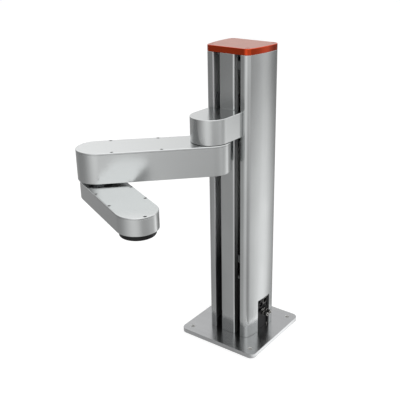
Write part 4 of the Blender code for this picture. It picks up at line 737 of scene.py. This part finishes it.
# Aluminium, turned and hard anodised black: a dense matt skin, over turning marks 0.15 mm apart,
# here 0.5 mm so that they show.
black_anodised_aluminium, tree, shader = surface("black anodised aluminium", "161617", 0.0, 0.34)
shader.inputs["Specular IOR Level"].default_value = 0.25
vary(tree, shader, grain(tree, 0.0005), rough=(0.28, 0.42), shades=("101011", "181819"))
ring.data.materials.append(black_anodised_aluminium)
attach(ring, "tool")
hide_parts("tool_flange")


# Connector panel: a black anodised aluminium plate behind the window, held by four small screws.
# Everything on it is laid out in its own frame: across, up, and out of the column.

PANEL_AT, PANEL_LEAN = (0.054335, 0.007, 0), -0.049762
out = Matrix.Translation(PANEL_AT) @ Matrix.Rotation(PANEL_LEAN, 4, "Z")
at_panel = out @ Matrix(((0, 0, 1, 0), (1, 0, 0, 0), (0, 1, 0, 0), (0, 0, 0, 1)))
PANEL_W, PANEL_Z, PANEL_T = 0.0520644, (0.0103, 0.095), 0.002
POWER, JACK, SIGNAL = (-0.0115, 0.078), (0.0115, 0.078), (0.0, 0.060)
FITTINGS = ((0.0045, 0.0475), (0.0163, 0.0475))
JACK_W, JACK_H, DEE_W, DEE_H = 0.0155, 0.0135, 0.0185, 0.0085
INLET_R, FITTING_HOLE_R, PANEL_BORE_R = 0.0075, 0.0051, 0.0015
panel_spots = [(x, y) for x in (-0.0195, 0.0195) for y in (0.0125, 0.0885)]


def around(middle, width, height, corner, count=1):
    """A rounded rectangle by its middle and its size."""
    x, y = middle
    return rounded(x - width / 2, y - height / 2, x + width / 2, y + height / 2, corner, count)


holes = [circle(INLET_R + SEAM, *POWER, 40),
         around(JACK, JACK_W + 2 * SEAM, JACK_H + 2 * SEAM, FINE), around(SIGNAL, DEE_W, DEE_H, FINE),
         *[circle(FITTING_HOLE_R, *spot, 32) for spot in FITTINGS],
         *[circle(PANEL_BORE_R, *spot, 16) for spot in panel_spots]]
skins = [walls(rounded(-PANEL_W / 2, PANEL_Z[0], PANEL_W / 2, PANEL_Z[1], 2 * FINE, 2),
               [(0, -PANEL_T), (0, -FINE), (FINE, 0)])]
skins += [walls(hole[::-1], [(0, -PANEL_T), (0, 0)]) for hole in holes]
panel = solid("panel_plate", skins, through_ends(len(skins)), at_panel)
panel.data.materials.append(black_anodised_aluminium)
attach(panel, "column")
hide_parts("connector_panel")

PANEL_SCREW, PANEL_SCREW_OFF = (0.0026, 0.0018, 0.0012, 0.005, 0.0015), 0.0002
screws = socket_screws("panel_screws", panel_spots, PANEL_SCREW_OFF, PANEL_SCREW, at_panel)
screws.data.materials.append(stainless_steel)
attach(screws, "column")


# Power inlet: a round brass shell with a flange, plated in black nickel, a black nylon core set back
# in it, and four tin plated pins.

def pin(x, y, radius, foot, top, count=12):
    """A round pin with a domed tip: a quarter circle of insets over its top."""
    return walls(circle(radius, x, y, count), [(0, foot), *top_rim(top, radius * 0.8, 3)[1:-1]])


def bar_ends(count):
    """Caps for bars that stand side by side: the foot and the top of each."""
    return [(look, [(i, end)]) for i in range(count) for look, end in ((-1, 0), (1, -1))]


# Nickel plate: bright, a shade warmer than steel, with reflections that waver a little because the
# parts are plated loose in a barrel. Black nickel is the same, smoked nearly black.
nickel_plate, tree, shader = surface("nickel plate", "b3b2af", 1.0, 0.24)
vary(tree, shader, grain(tree, 0.001), rough=(0.18, 0.3))
black_nickel, tree, shader = surface("black nickel plate", "2c2c2d", 1.0, 0.32)
vary(tree, shader, grain(tree, 0.001), rough=(0.26, 0.38))

# Tin plate on pins and contacts: pale and soft, lightly mottled.
tin_plate, tree, shader = surface("tin plate", "c9c8c4", 1.0, 0.26)
vary(tree, shader, grain(tree, 0.0006), shades=("c2c1bd", "d0cfcb"))

# Black nylon, moulded in a spark-eroded tool: near black, with a fine matt relief, here 0.4 mm
# across so that it shows.
black_nylon, tree, shader = surface("black nylon", "141414", 0.0, 0.5)
shader.inputs["IOR"].default_value = 1.53
vary(tree, shader, grain(tree, 0.0004), relief=(0.08, 0.00005))
vary(tree, shader, grain(tree, 0.0015), shades=("111111", "181818"))

INLET_BORE_R, INLET_CORE_R, PIN_CIRCLE_R, PIN_R = 0.0058, 0.0056, 0.0029, 0.00075
turned = [(0, -0.014), (0, 0.0003), (-0.002, 0.0003), (-0.002, 0.0018), (-0.0018, 0.002),
          (0, 0.002), (0, 0.0024), (0.0003, 0.0026), (0.0003, 0.0029), (0, 0.0031), (0, 0.0035),
          (0.0003, 0.0037), (0.0003, 0.004), (0, 0.0042), (0, 0.0057), (0.0003, 0.006)]
shell = solid("power_shell", [walls(circle(INLET_R, *POWER), turned),
                              walls(circle(INLET_BORE_R, *POWER)[::-1], [(0, -0.002), (0, 0.006)])],
              cup_ends(), at_panel)
core = solid("power_core", [walls(circle(INLET_CORE_R, *POWER, 40),
                                  [(0, -0.0019), (0, -0.0007), (0.0002, -0.0005)])],
             through_ends(), at_panel)
spots = arc(PIN_CIRCLE_R, *POWER, 45, 315, 3)
pins = solid("power_pins", [pin(x, y, PIN_R, -0.0018, 0.003) for x, y in spots], bar_ends(4), at_panel)
for piece, finish, kind in ((shell, black_nickel, "steel"), (core, black_nylon, "black_plastic"),
                            (pins, tin_plate, "steel")):
    piece.data.materials.append(finish)
    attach(piece, "column")
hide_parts("power_inlet")


# Network jack: a shell folded from thin nickel plated sheet round a black nylon housing, with a step
# below for the plug's latch and eight sprung tin plated contacts above.

LATCH_X, PLUG_X, CONTACT_PITCH = 0.0019, 0.00575, 0.00102
LATCH_Y, PLUG_Y, CONTACT_Y, PLUG_TOP = 0.001, 0.003, 0.0101, 0.0115
jack_foot = JACK[1] - JACK_H / 2
cavity = mirrored(np.array([(LATCH_X, LATCH_Y), (LATCH_X, PLUG_Y), (PLUG_X, PLUG_Y),
                            (PLUG_X, PLUG_TOP)])) + (JACK[0], jack_foot)
outline = around(JACK, JACK_W, JACK_H, 0.001, 3)
jack = solid("jack_shell", [walls(outline, [(0, -0.016), (0, 0.0009), (0.0001, 0.001)]),
                            walls(outline[::-1], [(-0.0005, -0.0155), (-0.0005, 0.001)])],
             cup_ends(), at_panel)
core = solid("jack_core", [walls(outline, [(0.0006, -0.0154), (0.0006, 0.0005), (0.0008, 0.0007)]),
                           walls(cavity[::-1], [(0, -0.0135), (0, 0.0005), (0.0002, 0.0007)])],
             cup_ends(), at_panel)
strips = [walls(around((x, jack_foot + CONTACT_Y), 0.0004, 0.0006, 0.0001), [(0, -0.012), (0, -0.001)])
          for x in JACK[0] + (np.arange(8) - 3.5) * CONTACT_PITCH]
contacts = solid("jack_contacts", strips, bar_ends(8), at_panel)
for piece, finish, kind in ((jack, nickel_plate, "steel"), (core, black_nylon, "black_plastic"),
                            (contacts, tin_plate, "steel")):
    piece.data.materials.append(finish)
    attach(piece, "column")
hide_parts("network_socket")


# Signal socket: a pressed steel flange and D-shaped shell, plated in black nickel, round a black
# nylon block with nine tin plated sockets, and a hexagon post at each end for the plug's screws.

def dee(grow):
    """A D with its long side up. Its sides lean in by a twelfth of its height. Each corner is rounded
    by corner + a(1-t)^2 + b t^2, where a and b run 1.2 mm from it along its two sides."""
    hw, hh, tilt = DEE_W / 2 + grow, DEE_H / 2 + grow, DEE_H / 12
    corners = np.array([(hw - tilt, -hh), (hw + tilt, hh), (-hw - tilt, hh), (-hw + tilt, -hh)])
    ahead, behind = np.roll(corners, -1, 0) - corners, np.roll(corners, 1, 0) - corners
    a, b = (v / np.linalg.norm(v, axis=1, keepdims=True) * 0.0012 for v in (behind, ahead))
    t = np.linspace(0, 1, 6)[None, :, None]
    bend = corners[:, None] + a[:, None] * (1 - t) ** 2 + b[:, None] * t ** 2
    return bend.reshape(-1, 2) + SIGNAL


FLANGE_W, FLANGE_H, FLANGE_CORNER, POST_X, POST_FLATS = 0.030, 0.0115, 0.0014, 0.0125, 0.0046
SOCKET_PITCH, SOCKET_ROW, SOCKET_R, SOCKET_BORE_R = 0.00277, 0.0014, 0.0007, 0.00045
post_spots = [(SIGNAL[0] + s * POST_X, SIGNAL[1]) for s in (-1, 1)]
skins = [walls(around(SIGNAL, FLANGE_W, FLANGE_H, FLANGE_CORNER, 4),
               [(0, 0.0003), (0, 0.0011), (FINE, 0.0013)]),
         walls(dee(-0.0001), [(-0.0004, 0.0013), (0, 0.0018), (0, 0.0054), (0.0001, 0.0055)]),
         walls(dee(-0.0006)[::-1], [(0, 0.0009), (0, 0.0055)])]
caps = [(-1, [(0, 0)]), (1, [(0, -1), (1, 0)]), (1, [(1, -1), (2, -1)]), (1, [(2, 0)])]
for i, (x, y) in enumerate(post_spots):
    skins += [walls(hexagon(POST_FLATS, x, y), [(0, 0.0013), (0, 0.0044), (0.0003, 0.0047)]),
              walls(circle(0.0012, x, y, 24)[::-1], [(0, 0.0016), (0, 0.0047)])]
    caps += cup_ends(3 + 2 * i)
socket = solid("signal_shell", skins, caps, at_panel)
block = solid("signal_block", [walls(dee(-0.0009), [(0, 0.001), (0, 0.0043), (0.0002, 0.0045)])],
              through_ends(), at_panel)
spots = [(SIGNAL[0] + x * SOCKET_PITCH, SIGNAL[1] + s * SOCKET_ROW)
         for s, xs in ((1, (-2, -1, 0, 1, 2)), (-1, (-1.5, -0.5, 0.5, 1.5))) for x in xs]
skins, caps = [], []
for i, (x, y) in enumerate(spots):
    skins += [walls(circle(SOCKET_R, x, y, 14), [(0, 0.0042), (0, 0.0046)]),
              walls(circle(SOCKET_BORE_R, x, y, 14)[::-1], [(0, 0.0043), (0, 0.0046)])]
    caps += cup_ends(2 * i)
pins = solid("signal_contacts", skins, caps, at_panel)
for piece, finish, kind in ((socket, black_nickel, "steel"), (block, black_nylon, "black_plastic"),
                            (pins, tin_plate, "steel")):
    piece.data.materials.append(finish)
    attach(piece, "column")
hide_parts("signal_socket")


# Air fittings: two push-in fittings with a nickel plated brass hexagon, a black nylon body and a
# nickel plated release ring, screwed into the panel. The gripper's air lines push into them.

NUT_FLATS, BODY_R, COLLAR_R, TUBE_R = 0.0102, 0.0047, 0.0035, 0.0027
for i, spot in enumerate(FITTINGS, 1):
    nut = solid(f"air_fitting_nut_{i}",
                [walls(hexagon(NUT_FLATS, *spot),
                       [(0.0003, 0.0003), (0, 0.0006), (0, 0.0039), (0.0003, 0.0042)]),
                 walls(circle(0.0042, *spot, 32)[::-1], [(0, 0.0003), (0, 0.0042)])],
                through_ends(2), at_panel)
    body = solid(f"air_fitting_body_{i}",
                 [walls(circle(BODY_R, *spot, 40), [(0.0004, -0.004), (0.0006, 0.0003), (0.0006, 0.0042),
                                                    (0, 0.0043), *top_rim(0.0113, 0.0008, 4)]),
                  walls(circle(0.0036, *spot, 32)[::-1], [(0, 0), (0, 0.0113)])],
                 cup_ends(), at_panel)
    collar = solid(f"air_fitting_ring_{i}",
                   [walls(circle(COLLAR_R, *spot, 32), [(0, 0.008), (0, 0.0124), (-0.0004, 0.0126),
                                                        (-0.0004, 0.0136), (-0.0002, 0.014)]),
                    walls(circle(TUBE_R, *spot, 32)[::-1], [(0, 0.008), (0, 0.0137), (0.0001, 0.014)])],
                   through_ends(2), at_panel)
    for piece, finish, kind in ((nut, nickel_plate, "steel"), (body, black_nylon, "black_plastic"),
                                (collar, nickel_plate, "steel")):
        piece.data.materials.append(finish)
        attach(piece, "column")
    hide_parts(f"air_fitting_{i}")


# Ball screw: hardened and ground steel, 12 mm across with a 10 mm lead, between turned journals. It
# runs in two bearing blocks, and the nut on it lifts the carriage.

def thread(radius, foot, top, lead, deep, count=24, pitch=0.0008):
    """A bar with a helical groove: the radius falls by the groove's round depth wherever the height
    over the lead, less the angle over a full turn, is within 0.16 of half way between two whole
    numbers. The groove fades out over the last 4 mm at both ends."""
    z = np.linspace(foot, top, int((top - foot) / pitch))[:, None]
    a = np.arange(count)[None, :] * 2 * np.pi / count
    phase = (z / lead - a / (2 * np.pi)) % 1.0
    dip = np.clip(1 - ((phase - 0.5) / 0.16) ** 2, 0, 1) ** 0.5
    ease = np.clip(np.minimum(z - foot, top - z) / 0.004, 0, 1)
    r = radius - deep * dip * ease
    return np.stack([r * np.cos(a), r * np.sin(a), np.broadcast_to(z, r.shape)], 2)


SCREW_R, LEAD, GROOVE_DEEP, JOURNAL_BREAK = 0.006, 0.010, 0.0011, 0.0005
LOW_JOURNAL, HIGH_JOURNAL = 0.0353, 0.0203
low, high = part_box("ball_screw")
screw_y = (low.y + high.y) / 2
foot, neck = low.z + LOW_JOURNAL, high.z - HIGH_JOURNAL
journal = circle(0.005, count=24)
rows = [walls(journal, [(JOURNAL_BREAK, low.z), (0, low.z + JOURNAL_BREAK), (0, foot)]),
        thread(SCREW_R, foot, neck, LEAD, GROOVE_DEEP),
        walls(journal, [(0, neck), (0, high.z - JOURNAL_BREAK), (JOURNAL_BREAK, high.z)])]
screw = solid("threaded_ball_screw", [np.vstack(rows)], through_ends(),
              Matrix.Translation((0, screw_y, 0)))

# Bearing steel, hardened and ground: bright, with grinding lines too fine to see, here 0.3 mm.
ground_steel, tree, shader = surface("ground steel", "a3a5a8", 1.0, 0.24)
vary(tree, shader, grain(tree, (0.0003, 0.0003, 0.02)), rough=(0.18, 0.32))
screw.data.materials.append(ground_steel)
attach(screw, "ball_screw")
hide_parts("ball_screw")


# Lift and drives inside: these keep their CAD shape, and get the finish of the real piece. Bearings,
# shafts, the nut and the reducers are ground steel.

def dress(nodes, material):
    """Gives CAD pieces this finish and no other."""
    for name in nodes:
        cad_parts[name].data.materials.clear()
        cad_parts[name].data.materials.append(material)


dress(("screw_bearing_1", "screw_bearing_2", "z_motor_shaft", "ball_nut", "wrist_bearing",
       "output_shaft", "shoulder_output", "elbow_output", "shoulder_reducer", "elbow_reducer"),
      ground_steel)

# Guide rails: bearing steel, ground and thinly chromed to a satin grey, which scatters the light
# that comes in through the slots. The grinding lines run along them, here 0.5 mm so that they show.
satin_chrome, tree, shader = surface("satin chrome plate", "c4c6c7", 0.35, 0.45)
vary(tree, shader, grain(tree, (0.0005, 0.0005, 0.1)), rough=(0.38, 0.52))
dress(("guide_rail_left", "guide_rail_right"), satin_chrome)

# Guide blocks: hardened steel, ground crosswise, so a shade duller than the shafts. The grinding
# lines are too fine to see, here 0.3 mm.
block_steel, tree, shader = surface("ground steel blocks", "a3a5a8", 1.0, 0.28)
vary(tree, shader, grain(tree, (0.02, 0.02, 0.0003)), rough=(0.22, 0.34))
dress([f"guide_block_{i}" for i in range(1, 5)], block_steel)

# Rail carrier: an aluminium extrusion left as it came from the press, as the column is inside, with the
# same painted light and painted shade towards the foot.
dress(("rail_carrier",), inner_aluminium_painted_light_shade)

# Plates, blocks and pulleys milled or turned from aluminium bar: tool marks of about 0.2 mm, here
# 0.6 mm, give a soft broken shine.
tooled_aluminium, tree, shader = surface("tooled aluminium", "b4b6b7", 1.0, 0.36)
vary(tree, shader, grain(tree, (0.003, 0.003, 0.0006)), rough=(0.28, 0.42), relief=(0.1, 0.00005))
dress(("motor_mount", "lower_bearing_block", "upper_bearing_block", "top_plate", "shaft_coupling",
       "nut_housing", "motor_pulley", "output_pulley", "lift_bracket"), tooled_aluminium)

# Motors: die-cast end bells and a laminated body, all under black stoving paint with a slight
# orange peel.
motor_enamel, tree, shader = surface("black stoving enamel", "1d1e20", 0.0, 0.38)
shader.inputs["IOR"].default_value = 1.5
shader.inputs["Coat Weight"].default_value = 0.2
vary(tree, shader, grain(tree, 0.0018), relief=(0.15, 0.0001), shades=("1a1b1d", "232427"))
dress(("z_motor", "shoulder_motor", "elbow_motor", "wrist_motor"), motor_enamel)

# Holding brake: a cast iron can, phosphated dark grey and oiled, with a sandy cast skin.
phosphated_iron, tree, shader = surface("phosphated cast iron", "3a3a3d", 0.7, 0.5)
vary(tree, shader, grain(tree, 0.0009), relief=(0.25, 0.0001), shades=("333336", "444448"))
dress(("holding_brake",), phosphated_iron)

# Circuit boards: glass epoxy under green solder mask, with the copper tracks showing as slightly
# lighter wavy lines, here 4.7 mm apart so that they show.
solder_mask, tree, shader = surface("green solder mask", "0f4a2b", 0.0, 0.32)
shader.inputs["IOR"].default_value = 1.55
place = add(tree, "ShaderNodeTexCoord").outputs["Object"]
tracks = add(tree, "ShaderNodeTexWave", {"Vector": place, "Scale": np.pi / 10 / 0.0047374,
                                         "Distortion": 2.0, "Detail": 0.0})
shade = add(tree, "ShaderNodeValToRGB", {"Fac": tracks.outputs["Fac"]},
            stops=[(0.45, "0d4326"), (0.6, "1a5f38")])
tree.links.new(shade.outputs[0], shader.inputs["Base Color"])
dress(("controller_board", "driver_board", "lamp_board"), solder_mask)

# Timing belt: black polyurethane with a dull, slightly ribbed back.
black_polyurethane, tree, shader = surface("black polyurethane", "1b1b1c", 0.0, 0.62)
shader.inputs["IOR"].default_value = 1.5
vary(tree, shader, grain(tree, (0.0006, 0.0006, 0.002)), relief=(0.2, 0.0001),
     shades=("171718", "242425"))
dress(("timing_belt",), black_polyurethane)
